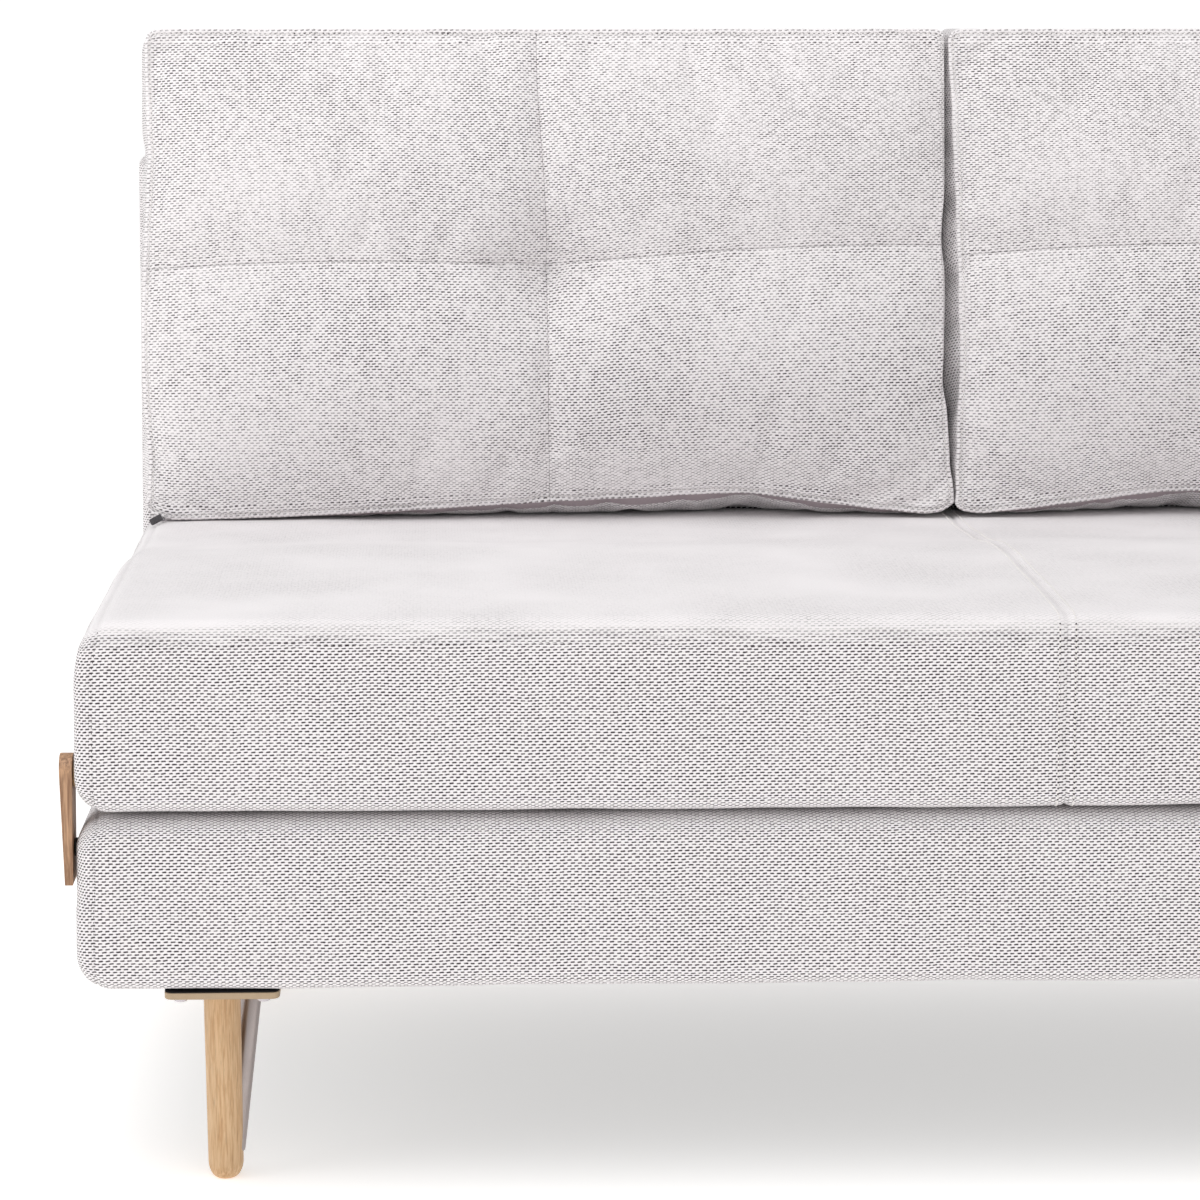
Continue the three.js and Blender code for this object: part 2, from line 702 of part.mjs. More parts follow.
function cushion(side) {
  const size = [cushionWidth, cushionThickness, cushionHeight];
  const place = cushionPlacer(size.map((length) => length / 2));
  const pad = paddedBlock(size, cushionRadius, [20, 2, 12], 2, (point, halves) => {
    cushionForm(point, halves);
    place(point);
  });
  return pad.translate(side * (halfWidth - cushionInset - cushionWidth / 2), 0, 0);
}

// Zip pull: slider and tab that lie on the seat in front of the cushion's outer bottom corner
function zipPull(side) {
  const shape = new THREE.Shape();
  const half = zipTabWidth / 2;
  const slider = zipSliderWidth / 2;
  shape.moveTo(-slider, 0).lineTo(-slider, -zipSliderWidth).lineTo(-half, -zipSliderWidth - slider);
  shape.lineTo(-half, -zipSliderWidth - zipTabLength).lineTo(half, -zipSliderWidth - zipTabLength);
  shape.lineTo(half, -zipSliderWidth - slider).lineTo(slider, -zipSliderWidth).lineTo(slider, 0).closePath();
  const tab = new THREE.ExtrudeGeometry(shape, { depth: zipTabThickness, bevelEnabled: false });
  const x = side * (halfWidth - cushionInset - cushionRadius / 2);
  const depth = backFront - cushionThickness;
  return tab.translate(x, depth, upperTop - seatSag + 2 * gap);
}

function cushions() {
  for (const [hand, side] of [['left', -1], ['right', 1]]) {
    const pad = toGeometry(toSolid(cushion(side)));
    addPiece(`cushion_${hand}`, pad, fabric);
    addPiece(`zip_pull_${hand}`, zipPull(side), darkPlastic);
  }
}

lowerPad();
lowerFrame();
legs();
links();
upperPad();
upperFrame();
bedLegs();
backPad();
backFrame();
clickClackHinges();
cushions();

export default sofa;
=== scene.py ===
"""Dresses the click clack sofa bed: covers, cushions, timber, steel, floor, light and camera.

Everything is in metres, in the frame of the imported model: +X to the right seen from the front, +Y to the
rear, +Z up. A piece takes its place from the node that it stands for.
"""

import math

import bmesh
import bpy
from bpy.props import FloatProperty, FloatVectorProperty, IntProperty, PointerProperty
from mathutils import Matrix, Vector, noise


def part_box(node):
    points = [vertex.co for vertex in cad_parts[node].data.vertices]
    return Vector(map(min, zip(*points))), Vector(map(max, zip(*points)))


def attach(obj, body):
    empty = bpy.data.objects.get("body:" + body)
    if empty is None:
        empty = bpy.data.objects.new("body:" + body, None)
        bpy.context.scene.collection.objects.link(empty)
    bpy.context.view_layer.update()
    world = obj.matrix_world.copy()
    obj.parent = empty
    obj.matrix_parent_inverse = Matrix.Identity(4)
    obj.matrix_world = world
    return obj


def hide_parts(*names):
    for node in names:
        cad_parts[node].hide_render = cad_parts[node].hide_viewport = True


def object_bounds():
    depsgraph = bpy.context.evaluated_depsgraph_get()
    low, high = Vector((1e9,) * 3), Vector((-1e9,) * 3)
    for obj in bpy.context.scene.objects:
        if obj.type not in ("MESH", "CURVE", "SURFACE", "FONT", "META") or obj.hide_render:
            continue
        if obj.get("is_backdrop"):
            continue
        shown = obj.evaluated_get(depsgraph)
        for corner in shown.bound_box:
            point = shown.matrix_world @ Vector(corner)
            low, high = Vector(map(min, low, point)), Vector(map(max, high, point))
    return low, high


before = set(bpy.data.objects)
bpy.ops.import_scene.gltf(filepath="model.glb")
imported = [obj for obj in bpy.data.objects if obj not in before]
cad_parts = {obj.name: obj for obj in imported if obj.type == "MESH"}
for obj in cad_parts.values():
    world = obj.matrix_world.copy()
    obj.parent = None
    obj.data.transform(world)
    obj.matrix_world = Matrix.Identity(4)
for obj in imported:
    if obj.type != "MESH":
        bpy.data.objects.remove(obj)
CAD_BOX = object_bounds()

bl_info = {
    "name": "Click clack sofa bed",
    "version": (1, 0, 0),
    "blender": (4, 5, 0),
    "location": "View3D > Sidebar > Sofa bed",
    "description": "Makes the covers, cushions, timber and steel of a click clack sofa bed",
    "category": "Add Mesh",
}

MM = 0.001
SIDES = {"left": -1, "right": 1}
# The legs' names, and the signs of x and y from each one towards the middle of the sofa
CORNERS = [
    (f"{end}_{hand}", -side, toward)
    for end, toward in (("front", 1), ("rear", -1)) for hand, side in SIDES.items()
]

# Where the sections, the back and the cushions meet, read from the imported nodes
SEAT_LOW, SEAT_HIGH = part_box("upper_pad")
LOWER_LOW, LOWER_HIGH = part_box("lower_pad")
BACK_LOW, BACK_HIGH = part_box("back_pad")

# The cushions' cut sizes and how they lean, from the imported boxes
CUSHION_LOW, CUSHION_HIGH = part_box("cushion_left")
CUSHION_BOTTOM = CUSHION_LOW.z
CUSHION_HEIGHT = CUSHION_HIGH.z - CUSHION_BOTTOM
CUSHION_WIDTH = CUSHION_HIGH.x - CUSHION_LOW.x
CUSHION_THICKNESS = 94 * MM
CUSHION_REST = BACK_LOW.y - 0.3 * MM
CUSHION_BULGE = 9 * MM
CUSHION_CLEARANCE = 1.2 * MM
CUSHION_LEAN = math.radians(5)
CUSHION_OVERHANG = 15 * MM
CUSHION_BEND = BACK_HIGH.z + 26 * MM

# Grid steps of the covers, and the number of steps over an edge and round a turned piece and a screw
COVER_PITCH = 9 * MM
BACK_PITCH = 12 * MM
CUSHION_PITCH = 8 * MM
EDGE_STEPS = 6
TURNED_STEPS = 48
SCREW_STEPS = 24

# Half the strip that a seam draws in, the widths of its groove and of the soft hollow round the middle one,
# and how far the lower cover is drawn up under its frame
SEAM_HALF = 2.5 * MM
GROOVE_WIDTH = 2 * MM
HOLLOW_WIDTH = 26 * MM
DUST_RISE = 4.5 * MM

# Half thickness of the thread, half the length and width of a needle hole, beside stitches and in a seam,
# and how far the lens of a hole stands out of the cloth and reaches into it. The lens is dark: painted shade
# of the dimple that the needle leaves.
THREAD_RADIUS = 0.7 * MM
STITCH_HOLE = (0.9 * MM, 0.8 * MM)
SEAM_HOLE = (2.1 * MM, 0.28 * MM)
HOLE_RISE = 0.35 * MM
HOLE_DEPTH = 0.6 * MM
SIXTHS = [turn * math.pi / 3 for turn in range(6)]

# The angle from which an edge of a hard piece is drawn sharp
SHARP_ANGLE = math.radians(32)

# The photograph's frame, its camera's focal length in pixels, and the camera's place and turn
PHOTO_SIDE = 1200
FOCAL_PIXELS = 3598
SENSOR = 36.0
CAMERA_PLACE = (-0.513, -3.258, 0.962)
CAMERA_YAW = math.radians(1.97)
CAMERA_PITCH = math.radians(5.56)
CAMERA_SHIFT = (0.04, -0.1983)


def linear(hex_colour):
    """An sRGB hex colour as the linear RGBA that the shaders work in."""
    parts = [int(hex_colour[place:place + 2], 16) / 255 for place in (1, 3, 5)]
    curve = [part / 12.92 if part <= 0.04045 else ((part + 0.055) / 1.055) ** 2.4 for part in parts]
    return (*curve, 1.0)


def colour(name, description, hex_colour):
    """A colour property of the add-on, with its default as sRGB hex."""
    return FloatVectorProperty(
        name=name, description=description, default=linear(hex_colour), size=4, min=0, max=1, subtype="COLOR"
    )


def length(name, description, millimetres):
    """A length property of the add-on, with its default in millimetres."""
    return FloatProperty(name=name, description=description, default=millimetres * MM, min=0, unit="LENGTH")


def number(name, description, default, least=0.0):
    """A plain number property of the add-on."""
    return FloatProperty(name=name, description=description, default=default, min=least)


class FabricSettings(bpy.types.PropertyGroup):
    """The woven cover fabric and its sewing thread."""

    thread: colour("Thread colour", "Raised threads of the weave", "#f5f1f2")
    # The hollow colour is painted shade, the shade that falls between the threads
    hollow: colour("Hollow colour", "Shaded hollows between the threads", "#392f33")
    sewing: colour("Sewing thread", "Topstitching and seams", "#f3efed")
    # The needle holes' colour is painted shade, the shade in the dimples between the stitches
    shade: colour("Needle holes", "Shaded dimples between the stitches", "#3b3236")
    # The zip tape is a real strip, and its mauve grey, darker than the cloth, also stands in for part of the
    # shade under the front panel's lower edge
    tape: colour("Zip tape", "Woven tape of the cushion zips", "#a89ca0")
    dash_pitch: length("Dash pitch", "Distance between hollows along one row of the weave", 5.75)
    row_pitch: length("Row pitch", "Distance between two rows of the weave", 2.4)
    relief: length("Relief", "Height of the threads above the hollows", 0.6)
    stitch: length("Stitch", "Length of one stitch", 3.6)
    stitch_pitch: length("Stitch pitch", "Distance from stitch to stitch", 4.8)


class SectionSettings(bpy.types.PropertyGroup):
    """The two stacked mattress sections and the back panel."""

    radius: length("Edge radius", "Round along the edges of the sections", 29.7)
    back_radius: length("Back edge radius", "Round along the edges of the back panel", 12)
    crown: length("Crown", "Rise of the seat towards its middle", 7)
    sag: length("Sag", "Depth that the cushions press into the seat", 10)
    squareness: number("Squareness", "How square the front edges are", 5, 2)
    lower_squareness: number("Lower squareness", "How square the lower section's upper edges are", 2.8, 2)
    draw: length("Draw", "Pull of the cover on the sides", 1)
    seam_inset: length("Side seam inset", "Distance from the side to the seam of the side panel", 16)
    topstitch: length("Topstitch offset", "Distance from the middle seam to its topstitching", 6.5)
    groove: length("Seam groove", "Depth of a seam in the cover", 2.2)
    waviness: length("Waviness", "Unevenness of the foam under the cover", 1.4)
    # The pressed nap fades the weave's painted hollow shade on the seat's top, so that the top comes out
    # lighter, as where the threads hide their hollows at a glancing view; the nap fade is the depth below
    # the edge over which the painted shade comes back
    hollow_fade: number("Pressed nap", "How flat the nap lies on the seat", 0.8)
    nap_fade: length("Nap fade", "Depth over which the nap opens below the seat's edge", 25)
    turned_in: number("Turned in nap", "How flat the nap lies on the faces that show only in the bed", 0.45)
    shoulder: length("Shoulder", "How far the seat's ends lean in at the top", 4.5)


class CushionSettings(bpy.types.PropertyGroup):
    """The two loose back cushions."""

    corner: length("Corner radius", "Round of the panel at its corners", 13)
    crown: length("Crown", "Rise of the front panel", 36)
    rear_crown: length("Rear crown", "Rise of the rear panel", 12)
    valley: length("Valley", "Depth of the crossed seams", 5)
    tuft: length("Tuft depth", "Depth of the tuft where the seams cross", 26)
    dimple: length("Dimple", "Depth that the tuft's thread pulls in after filling", 9)
    lift: length("Seam lift", "Rise of the lower seam over the seat", 20)
    arch: length("Arch", "Rise of the band over the seat near the middle of the sofa", 5.5)
    seam_slip: length("Seam slip", "How far the upright seam strays to the left at the top", 12)
    swelling: length("Swelling", "Furthest that the air may move the cover", 24)
    # The naps say how far the weave's painted hollow shade fades on each part of the cushion
    panel_nap: number("Panel nap", "How flat the nap lies on the panels", 0.39)
    band_nap: number("Band nap", "How flat the nap lies on the bands", 0.35)
    flange_nap: number("Flange nap", "How flat the nap lies on the flanges", 0.52)
    topstitch: length("Topstitch offset", "Distance from a seam to its topstitching", 3.7)
    pressure: number("Pressure", "Air pressure that swells the cover", 3.0)
    frames: IntProperty(name="Frames", description="Steps of the cloth simulation", default=18, min=1)


class TimberSettings(bpy.types.PropertyGroup):
    """Finishes of the wooden pieces."""

    oak: colour("Oak", "Oiled oak of the legs", "#d9b78f")
    oak_grain: colour("Oak grain", "Late wood of the oak", "#c39a6e")
    walnut: colour("Walnut", "Stained side links", "#c9a07e")
    walnut_grain: colour("Walnut grain", "Dark grain of the stained timber", "#87644a")
    beech: colour("Beech", "Turned dowels", "#e6cfa8")
    beech_grain: colour("Beech grain", "Flecks of the beech", "#c9a878")
    pine: colour("Pine", "Sawn rails inside the sections", "#dcbf8d")
    pine_grain: colour("Pine grain", "Late wood of the pine", "#b98b52")


class MetalSettings(bpy.types.PropertyGroup):
    """Finishes of the steel, plastic and inner fabric pieces."""

    bronzed: colour("Bronzed steel", "Lacquer of the leg plates", "#ae997f")
    bright: colour("Bright steel", "Screws and bolts", "#c9c4c8")
    nickel: colour("Satin nickel", "Tubes behind the legs", "#aaa09d")
    black: colour("Black steel", "Hinge plates and pins", "#1d1c1c")
    rubber: colour("Gasket", "Pad between a leg plate and the cover", "#161415")
    zinc: colour("Zip metal", "Slider of the cushion zips", "#8d8a8d")
    tape: colour("Zip tape", "Tab of the cushion zips", "#4b484b")
    webbing: colour("Webbing", "Elastic webbing", "#3b3937")
    felt: colour("Felt", "Cover of the spring core", "#ecebe8")
    dust: colour("Dust cloth", "Spunbond cloth under the lower section", "#2a2828")


class StageSettings(bpy.types.PropertyGroup):
    """Floor and light."""

    floor: colour("Floor", "Painted studio floor", "#f6f5f4")
    overhead: number("Overhead light", "Power of the softbox above, in watts", 47)
    side: number("Side light", "Power of the softbox at the left, in watts", 20)
    glow: number("Floor glow", "Light from within the white floor", 0.57)
    sky: number("Ceiling", "Strength of the white room overhead", 0.54)
    horizon: number("Walls", "Strength of the white room at floor level", 1.1)


class SofaSettings(bpy.types.PropertyGroup):
    """All settings of the sofa bed."""

    fabric: PointerProperty(type=FabricSettings)
    section: PointerProperty(type=SectionSettings)
    cushion: PointerProperty(type=CushionSettings)
    timber: PointerProperty(type=TimberSettings)
    metal: PointerProperty(type=MetalSettings)
    stage: PointerProperty(type=StageSettings)


def add_node(tree, kind, inputs=None, **settings):
    """Adds a shader node of that kind with its settings, and sets or links its inputs."""
    node = tree.nodes.new("ShaderNode" + kind)
    for name, value in settings.items():
        setattr(node, name, value)
    for socket, value in (inputs or {}).items():
        if isinstance(value, bpy.types.Node):
            tree.links.new(value.outputs[0], node.inputs[socket])
        elif isinstance(value, bpy.types.NodeSocket):
            tree.links.new(value, node.inputs[socket])
        else:
            node.inputs[socket].default_value = value
    return node


def new_material(name, **sockets):
    """A new material with its Principled shader's plain sockets set: (material, tree, shader)."""
    material = bpy.data.materials.new(name)
    material.use_nodes = True
    tree = material.node_tree
    shader = tree.nodes["Principled BSDF"]
    for socket, value in sockets.items():
        shader.inputs[socket.replace("_", " ").title().replace("Ior", "IOR")].default_value = value
    return material, tree, shader


def dress(tree, tone, shade, grain=None, strength=0.0, distance=0.0):
    """Gives the Principled shader a tone that the shade varies, and the relief of the grain, if any."""
    shader = tree.nodes["Principled BSDF"]
    tint = add_node(tree, "HueSaturation", {"Color": tone, "Value": shade})
    tree.links.new(tint.outputs[0], shader.inputs["Base Color"])
    if grain:
        relief = add_node(tree, "Bump", {"Height": grain, "Strength": strength, "Distance": distance})
        tree.links.new(relief.outputs[0], shader.inputs["Normal"])


def woven_polyester(name, settings):
    """Polyester woven in a half drop: pale fuzzy threads with small dark hollows in staggered rows.

    To the eye it is matt, coarse and slightly mottled. The dark of the hollows is painted shade, the shade
    that falls between the threads. The third cloth coordinate says how far the nap is laid flat over the
    hollows, which fades that painted shade.
    """
    wander_size, wander_reach, yarn_size = 45 * MM, 3.4 * MM, 4 * MM
    patch_size, fuzz_size = 120 * MM, 1.6 * MM
    material, tree, _ = new_material(
        name, roughness=0.94, specular_ior_level=0.2, sheen_weight=0.3, sheen_roughness=0.5
    )
    flat = add_node(tree, "Attribute", attribute_name="cloth").outputs["Vector"]
    hollow_fade = add_node(tree, "SeparateXYZ", {0: flat}).outputs["Z"]
    # The rows wander a little across the cloth
    waves = {"Vector": flat, "Scale": 1 / wander_size, "Detail": 5.0, "Roughness": 0.6}
    wander = add_node(tree, "TexNoise", waves)
    reach = (wander_reach, wander_reach, 0)
    shift = add_node(
        tree, "VectorMath", {0: wander.outputs["Color"], 1: reach, 2: flat}, operation="MULTIPLY_ADD"
    )
    axes = add_node(tree, "SeparateXYZ", {0: shift})
    turns = 2 * math.pi / settings.dash_pitch, math.pi / settings.row_pitch
    across = add_node(tree, "Math", {0: axes.outputs["X"], 1: turns[0]}, operation="MULTIPLY")
    up = add_node(tree, "Math", {0: axes.outputs["Y"], 1: turns[1]}, operation="MULTIPLY")
    # Every second row is shifted by half a pitch
    row_wave = add_node(tree, "Math", {0: up}, operation="COSINE")
    stagger = add_node(tree, "Math", {0: row_wave}, operation="SIGN")
    across_wave = add_node(tree, "Math", {0: across}, operation="COSINE")
    along = add_node(tree, "Math", {0: across_wave, 1: stagger}, operation="MULTIPLY")
    # The yarn frays the ends of each hollow
    yarn = add_node(tree, "TexNoise", {"Vector": flat, "Scale": 1 / yarn_size, "Detail": 2.0})
    ragged = add_node(tree, "Math", {0: yarn, 1: 1.2, 2: along}, operation="MULTIPLY_ADD")
    ends = {"Value": ragged, "From Min": 0.05, "From Max": 0.7, "To Min": 0.1}
    dash = add_node(tree, "MapRange", ends, interpolation_type="SMOOTHSTEP")
    # A hollow is thin, and slants as the thread beside it does
    beside_wave = add_node(tree, "Math", {0: across}, operation="SINE")
    beside = add_node(tree, "Math", {0: beside_wave, 1: stagger}, operation="MULTIPLY")
    slanted = add_node(tree, "Math", {0: beside, 1: -0.14, 2: up}, operation="MULTIPLY_ADD")
    slant_wave = add_node(tree, "Math", {0: slanted}, operation="COSINE")
    thin = add_node(tree, "Math", {0: slant_wave, 1: slant_wave}, operation="MULTIPLY")
    thinner = add_node(tree, "Math", {0: thin, 1: 1.6}, operation="POWER")
    hollow = add_node(tree, "Math", {0: dash, 1: thinner}, operation="MULTIPLY")
    # The nap covers the hollows' painted shade unevenly, and more where the third cloth coordinate is higher
    spread = {"Value": yarn, "From Min": 0.3, "From Max": 0.7, "To Min": 0.8, "To Max": 2.2}
    uneven = add_node(tree, "MapRange", spread)
    patch = add_node(tree, "TexNoise", {"Vector": flat, "Scale": 1 / patch_size, "Detail": 3.0})
    spread = {"Value": patch, "From Min": 0.3, "From Max": 0.7, "To Min": 0.81, "To Max": 1.13}
    mottle = add_node(tree, "MapRange", spread)
    open_nap = add_node(tree, "Math", {0: mottle, 1: hollow_fade}, operation="SUBTRACT", use_clamp=True)
    shade_showing = add_node(tree, "Math", {0: uneven, 1: open_nap}, operation="MULTIPLY")
    depth = add_node(tree, "Math", {0: hollow, 1: shade_showing}, operation="MULTIPLY", use_clamp=True)
    # The hollows' dark colour mixed in here is painted shade between the threads
    base = add_node(tree, "Mix", {"Factor": depth, 6: settings.thread, 7: settings.hollow}, data_type="RGBA")
    # Fuzz on the threads
    fuzz = add_node(tree, "TexNoise", {"Vector": flat, "Scale": 1 / fuzz_size, "Detail": 3.0})
    spread = {"Value": fuzz, "From Min": 0.25, "From Max": 0.75, "To Min": 0.93, "To Max": 1.05}
    shade = add_node(tree, "MapRange", spread)
    rise = add_node(tree, "Math", {0: fuzz, 1: 0.3, 2: 1.0}, operation="MULTIPLY_ADD")
    height = add_node(tree, "Math", {0: rise, 1: depth}, operation="SUBTRACT")
    dress(tree, base.outputs[2], shade, height, 0.6, settings.relief)
    return material


def sewing_thread(name, tone):
    """Spun polyester thread: slightly shiny, with the ply twisting round it."""
    material, tree, _ = new_material(name, roughness=0.6, specular_ior_level=0.35)
    place = add_node(tree, "TexCoord").outputs["Object"]
    ply = add_node(tree, "TexNoise", {"Vector": place, "Scale": 1 / (1.1 * MM), "Detail": 1.0})
    dress(tree, tone, add_node(tree, "MapRange", {"Value": ply, "To Min": 0.8, "To Max": 1.1}))
    return material


def timber(name, pale, dark, run, grain_width, roughness):
    """Planed and oiled or sawn wood: long grain along one axis, fine pores and a soft sheen.

    To the eye the grain runs in wavy streaks, and short dark pores lie in them.
    """
    pore_size, pore_depth = 0.9 * MM, 0.2 * MM
    material, tree, _ = new_material(name, roughness=roughness, specular_ior_level=0.4)
    place = add_node(tree, "TexCoord").outputs["Object"]
    stretch = [0.06 if axis == run else 1.0 for axis in "XYZ"]
    drawn = add_node(tree, "VectorMath", {0: place, 1: stretch}, operation="MULTIPLY")
    grain = {"Vector": drawn, "Scale": 1 / grain_width, "Detail": 5.0, "Roughness": 0.6, "Distortion": 0.4}
    streak = add_node(tree, "TexNoise", grain)
    contrast = {"Value": streak, "From Min": 0.36, "From Max": 0.68}
    ramp = add_node(tree, "MapRange", contrast, interpolation_type="SMOOTHSTEP")
    base = add_node(tree, "Mix", {"Factor": ramp, 6: pale, 7: dark}, data_type="RGBA")
    figure = add_node(tree, "TexNoise", {"Vector": drawn, "Scale": 1 / (6 * grain_width), "Detail": 2.0})
    broad = add_node(tree, "MapRange", {"Value": figure, "To Min": 0.86, "To Max": 1.12})
    pores = add_node(tree, "TexNoise", {"Vector": drawn, "Scale": 1 / pore_size, "Detail": 2.0})
    contrast = {"Value": pores, "From Min": 0.58, "From Max": 0.72, "To Min": 1.0, "To Max": 0.78}
    pore = add_node(tree, "MapRange", contrast)
    shade = add_node(tree, "Math", {0: broad, 1: pore}, operation="MULTIPLY")
    dress(tree, base.outputs[2], shade, pore, 0.25, pore_depth)
    return material


def metal(name, tone, roughness, metallic):
    """Steel with a brushed, lacquered or blackened surface: fine grain and slightly uneven gloss."""
    scratch, cloud_size, scratch_depth, wear = 0.35 * MM, 18 * MM, 0.05 * MM, 0.12
    material, tree, shader = new_material(name, metallic=metallic)
    place = add_node(tree, "TexCoord").outputs["Object"]
    drawn = add_node(tree, "VectorMath", {0: place, 1: (1.0, 1.0, 0.08)}, operation="MULTIPLY")
    brushed = add_node(tree, "TexNoise", {"Vector": drawn, "Scale": 1 / scratch, "Detail": 2.0})
    cloudy = add_node(tree, "TexNoise", {"Vector": place, "Scale": 1 / cloud_size, "Detail": 3.0})
    spread = {"Value": cloudy, "To Min": roughness - wear, "To Max": roughness + wear}
    tree.links.new(add_node(tree, "MapRange", spread).outputs[0], shader.inputs["Roughness"])
    shade = add_node(tree, "MapRange", {"Value": brushed, "To Min": 0.86, "To Max": 1.1})
    dress(tree, tone, shade, brushed, 0.12, scratch_depth)
    return material


def matt_sheet(name, tone, grain, roughness=0.85):
    """Felt, webbing, spunbond cloth, rubber or moulded plastic: dull, with a fine random grain."""
    material, tree, _ = new_material(name, roughness=roughness, specular_ior_level=0.3)
    place = add_node(tree, "TexCoord").outputs["Object"]
    speckle = add_node(tree, "TexNoise", {"Vector": place, "Scale": 1 / grain, "Detail": 3.0})
    shade = add_node(tree, "MapRange", {"Value": speckle, "To Min": 0.75, "To Max": 1.2})
    dress(tree, tone, shade, speckle, 0.4, 0.3 * MM)
    return material


def painted_floor(name, tone):
    """Matt white studio floor, lit from within so that it stays white under soft light."""
    glow = bpy.context.scene.sofa.stage.glow
    material, tree, _ = new_material(
        name, roughness=0.9, specular_ior_level=0.1, emission_color=tone, emission_strength=glow
    )
    place = add_node(tree, "TexCoord").outputs["Object"]
    cloud = add_node(tree, "TexNoise", {"Vector": place, "Scale": 0.6, "Detail": 3.0})
    dress(tree, tone, add_node(tree, "MapRange", {"Value": cloud, "To Min": 0.99, "To Max": 1.01}))
    return material


def finish(name):
    """The finish of that name, made once from the settings."""
    if name in bpy.data.materials:
        return bpy.data.materials[name]
    sofa = bpy.context.scene.sofa
    wood, steel = sofa.timber, sofa.metal
    makers = {
        "woven_polyester": lambda: woven_polyester(name, sofa.fabric),
        "sewing_thread": lambda: sewing_thread(name, sofa.fabric.sewing),
        # Made like the thread, but in the dark colour of painted shade for the needle holes
        "needle_hole_shade": lambda: sewing_thread(name, sofa.fabric.shade),
        "zip_tape": lambda: matt_sheet(name, sofa.fabric.tape, 0.9 * MM, 0.9),
        "oiled_oak": lambda: timber(name, wood.oak, wood.oak_grain, "Z", 1.5 * MM, 0.5),
        "oiled_oak_long": lambda: timber(name, wood.oak, wood.oak_grain, "Y", 1.5 * MM, 0.5),
        "stained_walnut": lambda: timber(name, wood.walnut, wood.walnut_grain, "Z", 3.2 * MM, 0.45),
        "turned_beech": lambda: timber(name, wood.beech, wood.beech_grain, "X", 1.8 * MM, 0.5),
        "sawn_pine": lambda: timber(name, wood.pine, wood.pine_grain, "X", 5 * MM, 0.75),
        "sawn_pine_cross": lambda: timber(name, wood.pine, wood.pine_grain, "Y", 5 * MM, 0.75),
        "sawn_pine_upright": lambda: timber(name, wood.pine, wood.pine_grain, "Z", 5 * MM, 0.75),
        "bronze_lacquered_steel": lambda: metal(name, steel.bronzed, 0.42, 0.75),
        "satin_steel": lambda: metal(name, steel.bright, 0.3, 1.0),
        "satin_nickel": lambda: metal(name, steel.nickel, 0.36, 1.0),
        "blackened_steel": lambda: metal(name, steel.black, 0.5, 0.6),
        "die_cast_zinc": lambda: metal(name, steel.zinc, 0.35, 1.0),
        "foam_rubber": lambda: matt_sheet(name, steel.rubber, 0.8 * MM),
        "moulded_nylon": lambda: matt_sheet(name, steel.tape, 0.5 * MM, 0.55),
        "elastic_webbing": lambda: matt_sheet(name, steel.webbing, 1.2 * MM),
        "needled_felt": lambda: matt_sheet(name, steel.felt, 2.5 * MM),
        "spunbond_cloth": lambda: matt_sheet(name, steel.dust, 1.5 * MM),
        "painted_floor": lambda: painted_floor(name, sofa.stage.floor),
    }
    return makers[name]()


def smoothstep(value, low, high):
    """0 below low, 1 above high, and a smooth way between."""
    share = min(max((value - low) / (high - low), 0.0), 1.0)
    return share * share * (3 - 2 * share)


def hump(value, width):
    """A bell of height 1 at 0, down to a third at the width."""
    return math.exp(-(value / width) ** 2)


def clamp(value, low, high):
    """The value, kept between low and high."""
    return min(max(value, low), high)


def mm(x, y, z):
    """A vector given in millimetres."""
    return Vector((x, y, z)) * MM


def new_piece(name, vertices, faces, material):
    """A smooth mesh object of those vertices and faces, in the scene."""
    mesh = bpy.data.meshes.new(name)
    mesh.from_pydata(vertices, [], faces)
    mesh.polygons.foreach_set("use_smooth", [True] * len(faces))
    mesh.materials.append(finish(material))
    mesh.update()
    piece = bpy.data.objects.new(name, mesh)
    bpy.context.scene.collection.objects.link(piece)
    return piece


def settle(piece, body, *nodes):
    """Rides the piece on its body and lets it stand for the nodes."""
    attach(piece, body)
    if nodes:
        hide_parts(*nodes)
    return piece


def apply_modifiers(piece):
    """Keeps what the piece's modifiers make as its mesh."""
    shown = piece.evaluated_get(bpy.context.evaluated_depsgraph_get())
    mesh = bpy.data.meshes.new_from_object(shown)
    old = piece.data
    piece.modifiers.clear()
    piece.data = mesh
    bpy.data.meshes.remove(old)


def lofted(rings):
    """Vertices and faces of a closed shape through rings of equally many points."""
    size = len(rings[0])
    vertices = [point for ring in rings for point in ring]
    faces = []
    for row in range(0, len(vertices) - size, size):
        for step in range(size):
            here, beside = row + step, row + (step + 1) % size
            faces.append([here, beside, beside + size, here + size])
    faces.append(list(range(size - 1, -1, -1)))
    faces.append(list(range(len(vertices) - size, len(vertices))))
    return vertices, faces


def joined(shapes):
    """Several shapes as one list of vertices and one of faces."""
    vertices, faces = [], []
    for some, more in shapes:
        faces += [[index + len(vertices) for index in face] for face in more]
        vertices += some
    return vertices, faces


def grid_stops(half, radius, pitch, lines=()):
    """Places of the grid lines along one axis: even on the flat, closer over the rounds, on each line."""
    flat = half - radius
    count = max(1, round(2 * flat / pitch))
    stops = [2 * flat * step / count - flat for step in range(count + 1)]
    for step in range(1, EDGE_STEPS + 1):
        reach = flat + radius * math.tan(math.pi / 4 * step / EDGE_STEPS)
        stops += [reach, -reach]
    # A stop that is too near to a line gives way to it, but the two ends stay
    near = 0.4 * pitch
    stops = [
        stop for stop in stops
        if abs(stop) > half - near / 4 or all(abs(stop - line) > near for line in lines)
    ]
    return sorted(set(round(stop, 7) for stop in [*stops, *lines, -half, half]))


